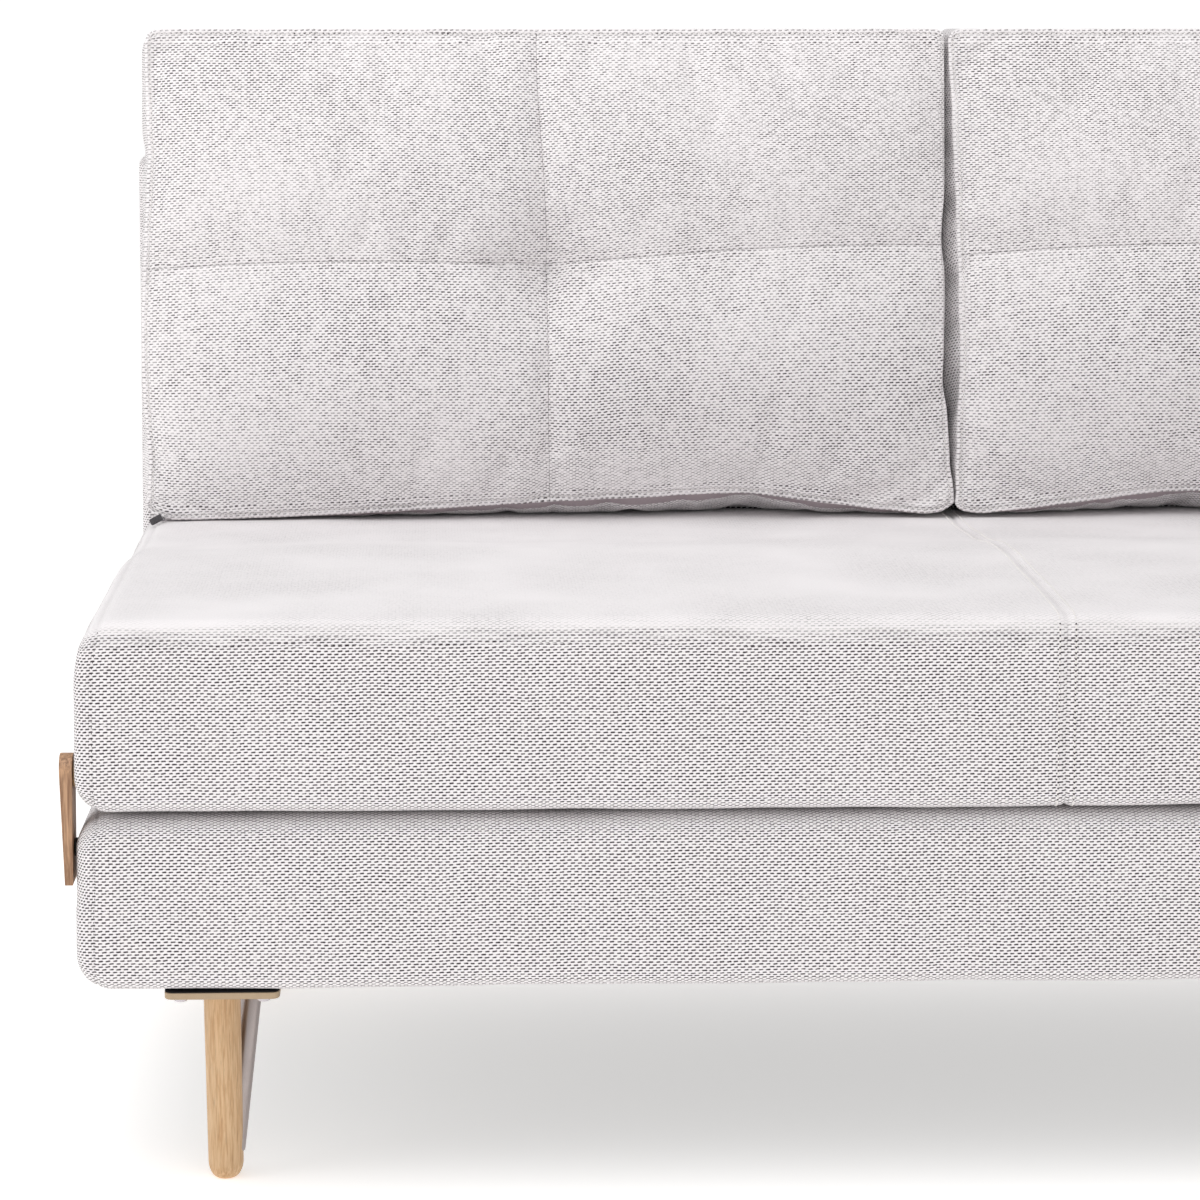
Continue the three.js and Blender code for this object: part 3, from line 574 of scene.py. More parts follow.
class CoverGrid:
    """A closed cover as the surface of a box of grid lines, with the flat place of its cloth at each corner.

    form(raw) gives the place of a grid point, and the nap function how flat its nap is, which fades the
    weave's painted hollow shade there. The cloth runs on without a break from the front to the top, the
    underside and the sides, so the weave does too.
    """

    def __init__(self, stops, form, hollow_fade):
        self.stops = stops
        self.hollow_fade = hollow_fade
        self.last = [len(line) - 1 for line in stops]
        self.index = {key: number for number, key in enumerate(self.surface_keys())}
        self.places = [form(Vector(self.raw(key))) for key in self.index]
        self.faces, self.flats = [], []
        for axis in range(3):
            for end in (0, self.last[axis]):
                self.add_side(axis, end)

    def raw(self, key):
        """Where a grid point lies on the plain box."""
        return [self.stops[axis][key[axis]] for axis in range(3)]

    def surface_keys(self):
        """Grid coordinates of the points on the surface of the box."""
        columns, rows, layers = self.last
        for i in range(columns + 1):
            for j in range(rows + 1):
                inside = 0 < i < columns and 0 < j < rows
                for k in (0, layers) if inside else range(layers + 1):
                    yield (i, j, k)

    def add_side(self, axis, end):
        """Faces of one side of the box, turned outwards, with their flat cloth places."""
        first, second = [other for other in range(3) if other != axis]
        outward = (end > 0) != (axis == 1)
        for a in range(self.last[first]):
            for b in range(self.last[second]):
                corners = [(a, b), (a + 1, b), (a + 1, b + 1), (a, b + 1)]
                if not outward:
                    corners.reverse()
                keys = []
                for one, two in corners:
                    key = [end, end, end]
                    key[first], key[second] = one, two
                    keys.append(tuple(key))
                self.faces.append([self.index[key] for key in keys])
                self.flats += [self.flat_place(axis, end, key) for key in keys]

    def flat_place(self, axis, end, key):
        """Where a corner lies on the cloth before it is sewn round the box."""
        x, y, z = self.raw(key)
        run = y - self.stops[1][0]
        nap = self.hollow_fade(axis, (x, y, z))
        if axis == 0:
            return (x + math.copysign(run, x), z, nap)
        if axis == 2:
            return (x, z + math.copysign(run, z), nap)
        return (x, z, nap) if end == 0 else (x, z + 2 * self.stops[1][-1], nap)

    def nearest(self, axis, value):
        """The grid line of an axis that is nearest to a value."""
        line = self.stops[axis]
        return min(range(len(line)), key=lambda step: abs(line[step] - value))

    def upright(self, line):
        """Points up the front and up the rear on one line across the box."""
        rows, layers = self.last[1:]
        return [[self.index[(line, row, k)] for k in range(layers + 1)] for row in (0, rows)]

    def level(self, line):
        """Points over the top and over the underside on one line across the box."""
        rows, layers = self.last[1:]
        return [[self.index[(line, j, k)] for j in range(rows + 1)] for k in (layers, 0)]

    def loop(self, line):
        """Points round the box on one line across it, up the front first, and back to the start."""
        front, rear = self.upright(line)
        top, underside = self.level(line)
        return [*front, *top[1:], *rear[-2::-1], *underside[-2::-1]]

    def ring(self, row, inset):
        """Points round the front or the rear panel and back to the start, that far in from its rim."""
        low = [self.nearest(axis, self.stops[axis][0] + inset) for axis in (0, 2)]
        high = [self.last[axis] - step for axis, step in zip((0, 2), low)]
        keys = [(i, row, low[1]) for i in range(low[0], high[0])]
        keys += [(high[0], row, k) for k in range(low[1], high[1])]
        keys += [(i, row, high[1]) for i in range(high[0], low[0], -1)]
        keys += [(low[0], row, k) for k in range(high[1], low[1] - 1, -1)]
        return [self.index[key] for key in keys]

    def piece(self, name):
        """The cover as a mesh object in the woven fabric."""
        piece = new_piece(name, self.places, self.faces, "woven_polyester")
        cloth = piece.data.attributes.new("cloth", "FLOAT_VECTOR", "CORNER")
        cloth.data.foreach_set("vector", [value for flat in self.flats for value in flat])
        return piece


def rounded(raw, halves, radius, squareness):
    """A grid point moved onto a box with round edges: its place, and the direction outwards.

    The ends are round seen from the front. The edges along the front and the rear are squarer, as foam is
    under a tight cover: squareness 2 is a round there, and a higher one is nearer to a sharp edge.
    """
    core = Vector([clamp(raw[axis], radius - halves[axis], halves[axis] - radius) for axis in range(3)])
    step = (raw - core) / radius
    ends = math.hypot(step.x, step.z)
    reach = (ends ** squareness + abs(step.y) ** squareness) ** (1 / squareness)
    share = ends ** (squareness - 2) if ends else 0.0
    out = Vector((step.x * share, math.copysign(abs(step.y) ** (squareness - 1), step.y), step.z * share))
    return core + step * (radius / reach), out.normalized()


def unevenness(place, wave, seed):
    """Smooth random height between about -1 and 1, with hills that far apart."""
    return noise.noise(place / wave + Vector((seed, 2 * seed, 3 * seed)))


def stitch_shape(start, end, normal):
    """One stitch: a six-sided bead, thick in the middle, that dips into the cloth at both ends."""
    along = (end - start).normalized()
    across = along.cross(normal).normalized()
    lift = across.cross(along)
    rings = []
    for share, size, rise in ((0.0, 0.35, -0.5), (0.25, 1.0, 0.25), (0.75, 1.0, 0.25), (1.0, 0.35, -0.5)):
        centre = start.lerp(end, share) + lift * rise * THREAD_RADIUS
        spokes = [across * math.cos(angle) + lift * math.sin(angle) for angle in SIXTHS]
        rings.append([centre + spoke * THREAD_RADIUS * size for spoke in spokes])
    return lofted(rings)


def hole_shape(centre, normal, along, reach):
    """The dimple where the needle went through: a flat six-sided lens, just proud of the cloth, dark with
    painted shade.
    """
    across = normal.cross(along).normalized()
    rim = [
        centre + along * reach[0] * math.cos(angle) + across * reach[1] * math.sin(angle)
        for angle in SIXTHS
    ]
    faces = []
    for turn in range(6):
        here, beside = 2 + turn, 2 + (turn + 1) % 6
        faces += [[0, here, beside], [1, beside, here]]
    return [centre + normal * HOLE_RISE, centre - normal * HOLE_DEPTH, *rim], faces


def stitch_row(path, normals, threads, hole):
    """Stitches along a sewn line and the hole beside each, a lens of painted shade: pairs of a shape and
    whether it is a hole.
    """
    settings = bpy.context.scene.sofa.fabric
    reach = [0.0]
    for start, end in zip(path, path[1:]):
        reach.append(reach[-1] + (end - start).length)
    shapes = []
    step = 0
    for number in range(int(reach[-1] / settings.stitch_pitch)):
        spots = []
        for share in (0.0, 1.0, (1 + settings.stitch_pitch / settings.stitch) / 2):
            where = clamp(number * settings.stitch_pitch + share * settings.stitch, 0, reach[-1])
            step = max(0, step - 2)
            while step < len(reach) - 2 and reach[step + 1] < where:
                step += 1
            part = (where - reach[step]) / max(reach[step + 1] - reach[step], 1e-9)
            spots.append((path[step].lerp(path[step + 1], part), normals[step]))
        (start, normal), (end, _), beside = spots
        if threads:
            shapes.append((stitch_shape(start, end, normal), 0))
        if hole:
            shapes.append((hole_shape(*beside, (end - start).normalized(), hole), 1))
    return shapes


def sew(name, piece, rows, body, threads=True, hole=STITCH_HOLE):
    """Stitches along rows of a cover's points, as one piece that rides with it.

    Without threads only the needle holes show, as dark lenses of painted shade, as along a seam that is sewn
    from the inside.
    """
    shapes = []
    for row in rows:
        points = [piece.data.vertices[index] for index in row]
        path, normals = [point.co.copy() for point in points], [point.normal.copy() for point in points]
        shapes += stitch_row(path, normals, threads, hole)
    stitches = new_piece(name, *joined([shape for shape, _ in shapes]), "sewing_thread")
    stitches.data.materials.append(finish("needle_hole_shade"))
    dark = [is_hole for (_, faces), is_hole in shapes for _ in faces]
    stitches.data.polygons.foreach_set("material_index", dark)
    return settle(stitches, body)


def neighbours(mesh):
    """The points beside each point of a mesh."""
    beside = [set() for _ in mesh.vertices]
    for edge in mesh.edges:
        one, two = edge.vertices
        beside[one].add(two)
        beside[two].add(one)
    return beside


def refined(beside, row):
    """A row of points with the ones that the subdivision put between them."""
    finer = []
    for one, two in zip(row, row[1:]):
        finer += [one, *sorted(beside[one] & beside[two])[:1]]
    return [*finer, row[-1]]


def section_cover(low, high, crown, sag):
    """A mattress section's cover: rounded, crowned, pressed down at the rear, with sunken seams.

    Only a cover with a crown is a seat, which has a seam in the middle. The other one is drawn up a little
    under its frame, where the dust cloth is stapled over it.
    """
    settings = bpy.context.scene.sofa.section
    halves = (high - low) / 2
    middle = (high + low) / 2
    inset = halves.x - settings.seam_inset
    sewn = settings.topstitch
    lines = [-sewn, -SEAM_HALF, 0.0, SEAM_HALF, sewn] if crown else []
    for side in (-inset, inset):
        lines += [side - SEAM_HALF, side, side + SEAM_HALF]
    dust_low, dust_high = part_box("dust_cover")

    def form(raw):
        square = settings.squareness if crown or raw.z < 0 else settings.lower_squareness
        place, out = rounded(raw, halves, settings.radius, square)
        across, along, height = place.x / halves.x, place.y / halves.y, place.z / halves.z
        # The tight cover draws the ends in, and the seat's ends lean in over their shoulders
        if abs(across) > 0.9:
            place.x -= math.copysign(settings.draw * (1 - height * height) * (1 - along * along), across)
        if crown:
            shoulder = settings.shoulder * smoothstep(height, 0.35, 0.85)
            place.x -= math.copysign(shoulder, across) * abs(across) ** 6
        # The top rises to its crown in front and sinks under the cushions behind
        if height > 0:
            rise = crown * (1 - abs(across) ** 6) * max(0.0, 1 - ((along + 0.2) / 0.8) ** 2)
            place.z += height * (rise - sag * smoothstep(along, -0.1, 0.35))
        # The seams lie in grooves, the middle one in a wide soft hollow too
        seam = 0.7 * hump(abs(raw.x) - inset, GROOVE_WIDTH)
        if crown:
            seam += hump(raw.x, GROOVE_WIDTH) + 0.3 * hump(raw.x, HOLLOW_WIDTH)
        wave = unevenness(middle + place, 160 * MM, 1) + 0.5 * unevenness(middle + place, 60 * MM, 4)
        place -= out * settings.groove * seam
        place += out * settings.waviness * (wave - 0.6)
        place += middle
        if not crown and height < -0.9:
            inside = min(*(place - dust_low)[:2], *(dust_high - place)[:2])
            place.z += DUST_RISE * smoothstep(inside, -6 * MM, 5 * MM)
        return place

    def hollow_fade(axis, raw):
        # The nap fades the weave's painted hollow shade: most on the seat's top, so that it comes out
        # lighter
        if crown and raw[2] > 0:
            return settings.hollow_fade * smoothstep(raw[2] - halves.z, -settings.nap_fade, -2 * MM)
        return settings.turned_in * smoothstep(raw[1] + halves.y, 30 * MM, 90 * MM) if axis == 2 else 0.0

    cuts = (lines, (), ())
    stops = [grid_stops(half, settings.radius, COVER_PITCH, cut) for half, cut in zip(halves, cuts)]
    return CoverGrid(stops, form, hollow_fade)


class SOFA_OT_sections(bpy.types.Operator):
    """Make the covers of the upper and the lower mattress section, with their sewn seams"""

    bl_idname = "sofa.sections"
    bl_label = "Section covers"

    def execute(self, context):
        settings = context.scene.sofa.section
        top = Vector((SEAT_HIGH.x, SEAT_HIGH.y, SEAT_HIGH.z - settings.crown))
        upper = section_cover(SEAT_LOW, top, settings.crown, settings.sag)
        cover = self.add(upper, "upper_cover", "seat", "upper_pad", "upper_underside")
        lines = [upper.nearest(0, side * settings.topstitch) for side in (-1, 1)]
        rows = [row for line in lines for row in upper.upright(line)]
        sew("upper_cover_topstitching", cover, rows, "seat")
        rows = [row for line in lines for row in upper.level(line)]
        sew("upper_cover_pressed_stitching", cover, rows, "seat", hole=None)
        self.add(section_cover(LOWER_LOW, LOWER_HIGH, 0.0, 0.0), "lower_cover", "base", "lower_pad")
        return {"FINISHED"}

    def add(self, grid, name, body, *nodes):
        """One cover and the seams of its two end panels."""
        piece = settle(grid.piece(name), body, *nodes)
        inset = grid.stops[0][-1] - bpy.context.scene.sofa.section.seam_inset
        seams = [row for side in (-inset, inset) for row in grid.upright(grid.nearest(0, side))]
        sew(name + "_end_seams", piece, seams, body, threads=False)
        return piece


class SOFA_OT_back(bpy.types.Operator):
    """Make the cover of the back panel that stands behind the cushions"""

    bl_idname = "sofa.back"
    bl_label = "Back cover"

    # How far the nap fades the weave's painted hollow shade on the back's cover
    NAP = 0.25

    def execute(self, context):
        settings = context.scene.sofa.section
        low = Vector([min(pair) for pair in zip(BACK_LOW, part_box("back_board")[0])])
        high = Vector([max(pair) for pair in zip(BACK_HIGH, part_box("back_board")[1])])
        halves, middle = (high - low) / 2, (high + low) / 2
        sewn = settings.topstitch
        lines = [-sewn, -SEAM_HALF, 0, SEAM_HALF, sewn]

        def form(raw):
            place, out = rounded(raw, halves, settings.back_radius, 2)
            wave = unevenness(middle + place, 200 * MM, 7)
            groove = settings.groove * 0.8 * hump(raw.x, GROOVE_WIDTH)
            return middle + place - out * (groove + settings.waviness * (0.5 - 0.5 * wave))

        cuts = (lines, (), ())
        stops = [grid_stops(half, settings.back_radius, BACK_PITCH, cut) for half, cut in zip(halves, cuts)]
        grid = CoverGrid(stops, form, lambda axis, raw: self.NAP)
        piece = settle(grid.piece("back_cover"), "back", "back_pad", "back_board")
        rows = [grid.loop(grid.nearest(0, side)) for side in (-sewn, sewn)]
        sew("back_cover_topstitching", piece, rows, "back")
        return {"FINISHED"}


class CushionShape:
    """One boxed back cushion: two panels with crossed seams and a tuft in front, joined by a band.

    It is made upright round its own middle, swelled by the cloth simulation, and then leant on the back.
    Below, inward is the share of the half width towards the middle of the sofa, and height the share of the
    half height.
    """

    BAND_STEPS = 12
    BAND_LINES = 1.8 * MM
    # Half widths of the crossed seams' valley, the tuft, its dimple and the spot that its thread holds
    VALLEY_WIDTH, TUFT_WIDTH, DIMPLE_WIDTH, TUFT_HOLD = 20 * MM, 55 * MM, 42 * MM, 9 * MM
    # How far the outer side of the front rim strays outwards at the top, the middle and the bottom, in mm
    OUTER_RIM = (3, -2, 4)
    # The same at the inner side, from the bottom to the top: (height, mm)
    INNER_RIM = {
        -1: ((-1.0, 5.0), (-0.94, 8.0), (-0.77, 2.5), (-0.6, 0.5), (-0.44, -4.8), (-0.3, -3.2),
             (-0.04, -1.9), (0.14, -5.6), (0.4, -2.0), (0.72, 0.9), (1.0, -1.5)),
        1: ((-1.0, -8.0), (-0.92, -5.0), (-0.1, 1.7), (0.22, 4.4), (0.62, 7.7), (1.0, 12.5)),
    }
    # How far the band stands outside its cut at the outer side, and at the inner one above and at the foot
    OUTER_BAND = (5, 5)
    INNER_BAND = {-1: (-8, 0), 1: (15, -3)}
    # How far the lower outer corner of the front panel is drawn in and up, in mm, and the inner one's share
    CORNER_DRAW = (11, 9)
    INNER_SHARE = 0.6
    # How far the level seam rises at the outer rim, the tuft and the inner rim, in mm
    SEAM_RISE = {-1: (5, 9, 27), 1: (22, 27, 17)}
    # How much further it rises halfway, where the panel swells, and how far left the upright seam lies
    SEAM_SWELL = 7.5
    SEAM_SHIFT = 2.5
    # How deep the crossed seams, the rims, the tuft and the topstitching sink into the finished cover, in mm
    SINK = (1.2, -0.9, 1.5, 1.6)
    # Folds of the front panel: both ends as inward and height, depth and width in mm
    FOLDS = (
        ((0.0, 0.02), (0.07, 0.22), 4.0, 7), ((0.515, -0.78), (0.50, -0.92), 2.2, 9),
        ((0.80, -0.90), (0.95, -0.80), 2.2, 8), ((0.72, -0.93), (0.88, -0.88), 2.0, 7),
        ((-0.93, -0.80), (-0.80, -0.93), 2.0, 8), ((0.10, -0.86), (0.16, -0.95), 1.4, 9),
        ((-0.04, 0.0), (-0.16, 0.05), 2.4, 8), ((0.04, -0.02), (0.17, 0.0), 2.0, 7),
    )

    def __init__(self, side):
        self.settings = settings = bpy.context.scene.sofa.cushion
        self.side = side
        self.body = "cushion_left" if side < 0 else "cushion_right"
        low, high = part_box(self.body)
        self.high = high
        self.middle_x = (low.x + high.x) / 2
        self.halves = halves = Vector((CUSHION_WIDTH / 2, CUSHION_THICKNESS / 2, CUSHION_HEIGHT / 2))
        near, sewn = self.BAND_LINES, settings.topstitch
        stops = []
        for half in (halves.x, halves.z):
            rims = [end * (half - step) for end in (-1, 1) for step in (near, sewn)]
            lines = [-sewn, -near, 0.0, near, sewn, *rims]
            stops.append(grid_stops(half, settings.corner, CUSHION_PITCH, lines))
        band = [halves.y * (2 * step / self.BAND_STEPS - 1) for step in range(self.BAND_STEPS + 1)]
        self.grid = CoverGrid([stops[0], band, stops[1]], self.form, self.nap)

    def nap(self, axis, raw):
        """How flat the nap lies, which fades the weave's painted hollow shade: flattest on the flange
        outside the topstitching.
        """
        settings, halves = self.settings, self.halves
        if axis != 1:
            return settings.band_nap
        inside = min(halves.x - abs(raw[0]), halves.z - abs(raw[2])) - settings.topstitch
        return max(settings.panel_nap, settings.flange_nap * (1 - smoothstep(inside, 0, 1 * MM)))

    def form(self, raw):
        """A grid point of the cushion before the air swells it."""
        settings, halves = self.settings, self.halves
        place = raw.copy()
        core_x = clamp(raw.x, settings.corner - halves.x, halves.x - settings.corner)
        core_z = clamp(raw.z, settings.corner - halves.z, halves.z - settings.corner)
        side, up = raw.x - core_x, raw.z - core_z
        if side and up:
            size = max(abs(side), abs(up)) / math.hypot(side, up)
            place.x, place.z = core_x + side * size, core_z + up * size
        across, height, depth = place.x / halves.x, place.z / halves.z, raw.y / halves.y
        inward = -self.side * across
        # Both panels swell, and the front one has its valleys and its tuft
        full = max(0.0, (1 - abs(across) ** 2.5) * (1 - abs(height) ** 2.5))
        if depth < 0:
            near = max(hump(place.x, self.VALLEY_WIDTH), hump(place.z, self.VALLEY_WIDTH))
            tuft = settings.tuft * hump(math.hypot(place.x, place.z), self.TUFT_WIDTH)
            swell = settings.crown * full - near * settings.valley * math.sqrt(full) - tuft
        else:
            swell = settings.rear_crown * full
        place.y += math.copysign(swell * abs(depth), raw.y)
        # The side rims stray, and the crossed seams slip and rise with the front panel
        front = smoothstep(-depth, -0.2, 1.0)
        level = 1 - height * height
        stray = smoothstep(abs(across), 0.8, 1.0) * self.stray(inward, height, front)
        place.x += math.copysign(stray, across)
        slip = settings.seam_slip * smoothstep(height, 0, 1) + self.SEAM_SHIFT * MM * level
        place.x -= slip * front * (1 - abs(across))
        place.z += self.seam_rise(inward) * front * level * level
        # The lower corners are drawn up, the front seam lifts off the seat and the band arches over it
        drawn_up = self.CORNER_DRAW[1] * MM * smoothstep(abs(inward), 0.93, 1.0)
        drawn_up *= smoothstep(-height, 0.88, 1.0)
        drawn_up *= self.INNER_SHARE if inward > 0 else 1.0
        place.z += drawn_up * front
        near_floor = smoothstep(-height, 0.72, 1.0)
        place.z += near_floor * front * self.lower_lift(inward)
        place.z += near_floor * smoothstep(-depth, -0.9, 0.2) * settings.arch * hump(inward - 0.47, 0.18)
        return place

    def stray(self, inward, height, front):
        """How far a side rim stands outside its cut: the front rim wanders and the band bulges behind it."""
        top, bottom = smoothstep(height, 0.0, 1.0), smoothstep(-height, 0.3, 0.95)
        if inward > 0:
            wander = self.inner_rim(height)
            upper, foot = self.INNER_BAND[self.side]
        else:
            above, middle, below = self.OUTER_RIM
            wander = above * top + middle * (1 - top) * (1 - bottom) + below * bottom
            wander -= 5.0 * hump(height + 0.35, 0.5) + self.CORNER_DRAW[0] * smoothstep(-height, 0.88, 1.0)
            upper, foot = self.OUTER_BAND
        band = upper + (foot - upper) * bottom
        return (band + (wander - band) * front) * MM

    def inner_rim(self, height):
        """How far the front rim beside the other cushion strays outwards at that height, in mm."""
        knots = self.INNER_RIM[self.side]
        for (low, start), (high, end) in zip(knots, knots[1:]):
            if height <= high:
                break
        return start + (end - start) * smoothstep(height, low, high)

    def seam_rise(self, inward):
        """How far the level seam stands above its cut."""
        outer, centre, inner = self.SEAM_RISE[self.side]
        rise = centre + (inner - centre) * max(0.0, inward) + (outer - centre) * max(0.0, -inward)
        return (rise + 4 * self.SEAM_SWELL * abs(inward) * (1 - abs(inward))) * MM

    def lower_lift(self, inward):
        """How far the lower front seam rises off the seat, most a little inward and none at the corners."""
        return self.settings.lift * hump(inward - 0.3, 0.74) * (1 - abs(inward) ** 6)

    def panel_rows(self, inset):
        """The rows round the front and the rear panel, that far in from the rims."""
        return [self.grid.ring(row, inset) for row in (0, self.grid.last[1])]

    def crossed_rows(self, inset):
        """The upright and the level seam from that far in on to the other rim."""
        grid = self.grid
        column, row = grid.nearest(0, 0.0), grid.nearest(2, 0.0)
        first = [grid.nearest(axis, grid.stops[axis][0] + inset) for axis in (0, 2)]
        upright = [grid.index[(column, 0, k)] for k in range(first[1], grid.last[2] - first[1] + 1)]
        return upright, [grid.index[(i, 0, row)] for i in range(first[0], grid.last[0] - first[0] + 1)]

    def tuft_points(self):
        """The points of the front panel that the tuft's thread holds."""
        return [
            index for index, place in enumerate(self.grid.places)
            if place.y < -self.halves.y / 2 and math.hypot(place.x, place.z) < self.TUFT_HOLD
        ]

    def swell(self, piece):
        """Swells the cushion with air in a short cloth simulation, while its seams are held."""
        scene = bpy.context.scene
        held = piece.vertex_groups.new(name="sewn")
        held.add(sum(self.crossed_rows(0.0), []), 0.92, "REPLACE")
        held.add(sum(self.panel_rows(0.0), []) + self.tuft_points(), 1.0, "REPLACE")
        modifier = piece.modifiers.new("air", "CLOTH")
        cloth = modifier.settings
        cloth.quality = 5
        cloth.mass = 0.25
        cloth.tension_stiffness = cloth.compression_stiffness = 18
        cloth.shear_stiffness = 6
        cloth.bending_stiffness = 0.35
        cloth.use_pressure = True
        cloth.uniform_pressure_force = self.settings.pressure
        cloth.shrink_min = -0.018
        cloth.vertex_group_mass = "sewn"
        cloth.effector_weights.gravity = 0
        modifier.collision_settings.use_collision = False
        modifier.point_cache.frame_start, modifier.point_cache.frame_end = 1, self.settings.frames
        for number in range(1, self.settings.frames + 1):
            scene.frame_set(number)
        shown = piece.evaluated_get(bpy.context.evaluated_depsgraph_get())
        moved = [vertex.co.copy() for vertex in shown.data.vertices]
        piece.modifiers.remove(modifier)
        piece.vertex_groups.clear()
        scene.frame_set(1)
        for vertex, place in zip(piece.data.vertices, moved):
            step = place - vertex.co
            vertex.co += step * min(1.0, self.settings.swelling / max(step.length, 1e-9))

    def fold(self, piece):
        """Presses the tuft and the folds into the front panel."""
        halves = self.halves
        for vertex, start in zip(piece.data.vertices, self.grid.places):
            if start.y > -halves.y / 2:
                continue
            here = Vector((start.x, start.z))
            press = self.settings.dimple * hump(math.hypot(*here), self.DIMPLE_WIDTH)
            for one, two, depth, width in self.FOLDS:
                ends = [Vector((-self.side * x * halves.x, z * halves.z)) for x, z in (one, two)]
                span = ends[1] - ends[0]
                share = clamp((here - ends[0]).dot(span) / span.length_squared, 0, 1)
                press += depth * MM * hump((here - ends[0] - span * share).length, width * MM)
            vertex.co.y += press

    def lean(self, place):
        """Where a point of the upright cushion lies when it leans on the back and rests on the seat."""
        halves = self.halves
        height = CUSHION_BOTTOM + halves.z + clamp(place.z, -halves.z, halves.z + 0.4 * MM)
        leaning = CUSHION_REST - halves.y + place.y + (place.z + halves.z) * math.tan(CUSHION_LEAN)
        bend = clamp((height - CUSHION_BEND) / (self.high.z - CUSHION_BEND), 0, 1)
        x = self.middle_x + self.side * min(self.side * place.x, halves.x + CUSHION_BULGE)
        # The two cushions meet left of the middle at the top, and on it at the foot
        meeting = (9 * smoothstep(-place.z / halves.z, 0.3, 1.0) - 8.5) * MM
        if self.side < 0:
            # The left one's front rim is what shows against the gap, so the band behind it stays back
            behind = 0.1 * max(0.0, place.y + halves.y)
            rim = self.middle_x + halves.x + self.inner_rim(place.z / halves.z) * MM + behind
            meeting = min(meeting, rim + CUSHION_CLEARANCE)
        x += self.side * max(0.0, CUSHION_CLEARANCE - (x - meeting) * self.side)
        return Vector((x, min(leaning, CUSHION_REST + bend * CUSHION_OVERHANG), height))

    def lay_zip(self, piece):
        """Gives the strip of the lower band right behind the front rim the tape of the zip, whose mauve grey
        is partly painted shade.
        """
        grid = self.grid
        piece.data.materials.append(finish("zip_tape"))
        columns = [i for i, stop in enumerate(grid.stops[0]) if abs(stop) <= self.halves.x * 0.97]
        strip = {grid.index[(i, j, 0)] for i in columns for j in range(3)}
        for face in piece.data.polygons:
            if strip.issuperset(face.vertices):
                face.material_index = 1

    def make(self):
        """The finished cushion cover with its stitching."""
        piece = self.grid.piece(self.body + "_cover")
        self.lay_zip(piece)
        self.swell(piece)
        self.fold(piece)
        for vertex in piece.data.vertices:
            vertex.co = self.lean(vertex.co)
        smoothing = piece.modifiers.new("finer", "SUBSURF")
        smoothing.levels = smoothing.render_levels = 1
        apply_modifiers(piece)
        piece.data.update()
        beside = neighbours(piece.data)
        sewn = self.settings.topstitch
        rims, topstitching, crossed, seams = [
            [refined(beside, row) for row in make(inset)]
            for make in (self.panel_rows, self.crossed_rows) for inset in (0.0, sewn)
        ]
        rim, line = set().union(*rims), set().union(*topstitching)
        self.sink(piece, set().union(*crossed) - rim, rim, self.tuft_points(), line)
        settle(piece, self.body, self.body)
        sew(self.body + "_topstitching", piece, topstitching, self.body)
        # The crossed seams show only their long thin needle holes, a fine dashed line of painted shade in
        # the grooves
        sew(self.body + "_crossed_seams", piece, seams, self.body, threads=False, hole=SEAM_HOLE)

    def sink(self, piece, *sewn):
        """Draws every sewn line into the cover, and turns the rims out to a narrow flange."""
        normals = [vertex.normal.copy() for vertex in piece.data.vertices]
        for points, depth in zip(sewn, self.SINK):
            for index in points:
                piece.data.vertices[index].co -= normals[index] * depth * MM
        piece.data.update()


class SOFA_OT_cushions(bpy.types.Operator):
    """Make the two loose back cushions, swelled by a cloth simulation and topstitched"""

    bl_idname = "sofa.cushions"
    bl_label = "Back cushions"

    def execute(self, context):
        for side in SIDES.values():
            CushionShape(side).make()
        return {"FINISHED"}


def turned_shape(origin, axis, profile, socket=0.0, steps=TURNED_STEPS):
    """Vertices and faces of a turned piece: the profile is pairs of a place along the axis and a radius.

    A socket is the reach of a hexagon sunk into the end. All are in mm.
    """
    turn = axis.to_track_quat("Z", "Y").to_matrix()
    hexagon = [(profile[-1][0], socket), (profile[-1][0] - socket, socket * 0.96)] if socket else []
    rings = []
    for number, (along, radius) in enumerate([*profile, *hexagon]):
        ring = []
        for step in range(steps):
            angle = 2 * math.pi * step / steps
            reach = radius
            if number >= len(profile):
                reach = radius / math.cos((angle % (math.pi / 3)) - math.pi / 6)
            ring.append(origin + turn @ mm(reach * math.cos(angle), reach * math.sin(angle), along))
        rings.append(ring)
    return lofted(rings)


def plate_shape(low, high, corner, ease, steps=5):
    """Vertices and faces of a flat plate with round corners and eased edges, in mm, lying level."""
    middle, corner, ease = (low + high) / 2, corner * MM, ease * MM
    rings = []
    for height, shrink in ((low.z, ease), (low.z + ease, 0.0), (high.z - ease, 0.0), (high.z, ease)):
        ring = []
        for quarter, (across, along) in enumerate(((1, 1), (-1, 1), (-1, -1), (1, -1))):
            for step in range(steps + 1):
                angle = math.pi / 2 * (quarter + step / steps)
                x = middle.x + across * ((high.x - low.x) / 2 - corner) + (corner - shrink) * math.cos(angle)
                y = middle.y + along * ((high.y - low.y) / 2 - corner) + (corner - shrink) * math.sin(angle)
                ring.append(Vector((x, y, height)))
        rings.append(ring)
    return lofted(rings)


def hard_piece(name, shape, material, body, *nodes):
    """A piece of hard stuff on its body: smooth, except over its sharper edges."""
    piece = new_piece(name, *shape, material)
    piece.data.set_sharp_from_angle(angle=SHARP_ANGLE)
    return settle(piece, body, *nodes)


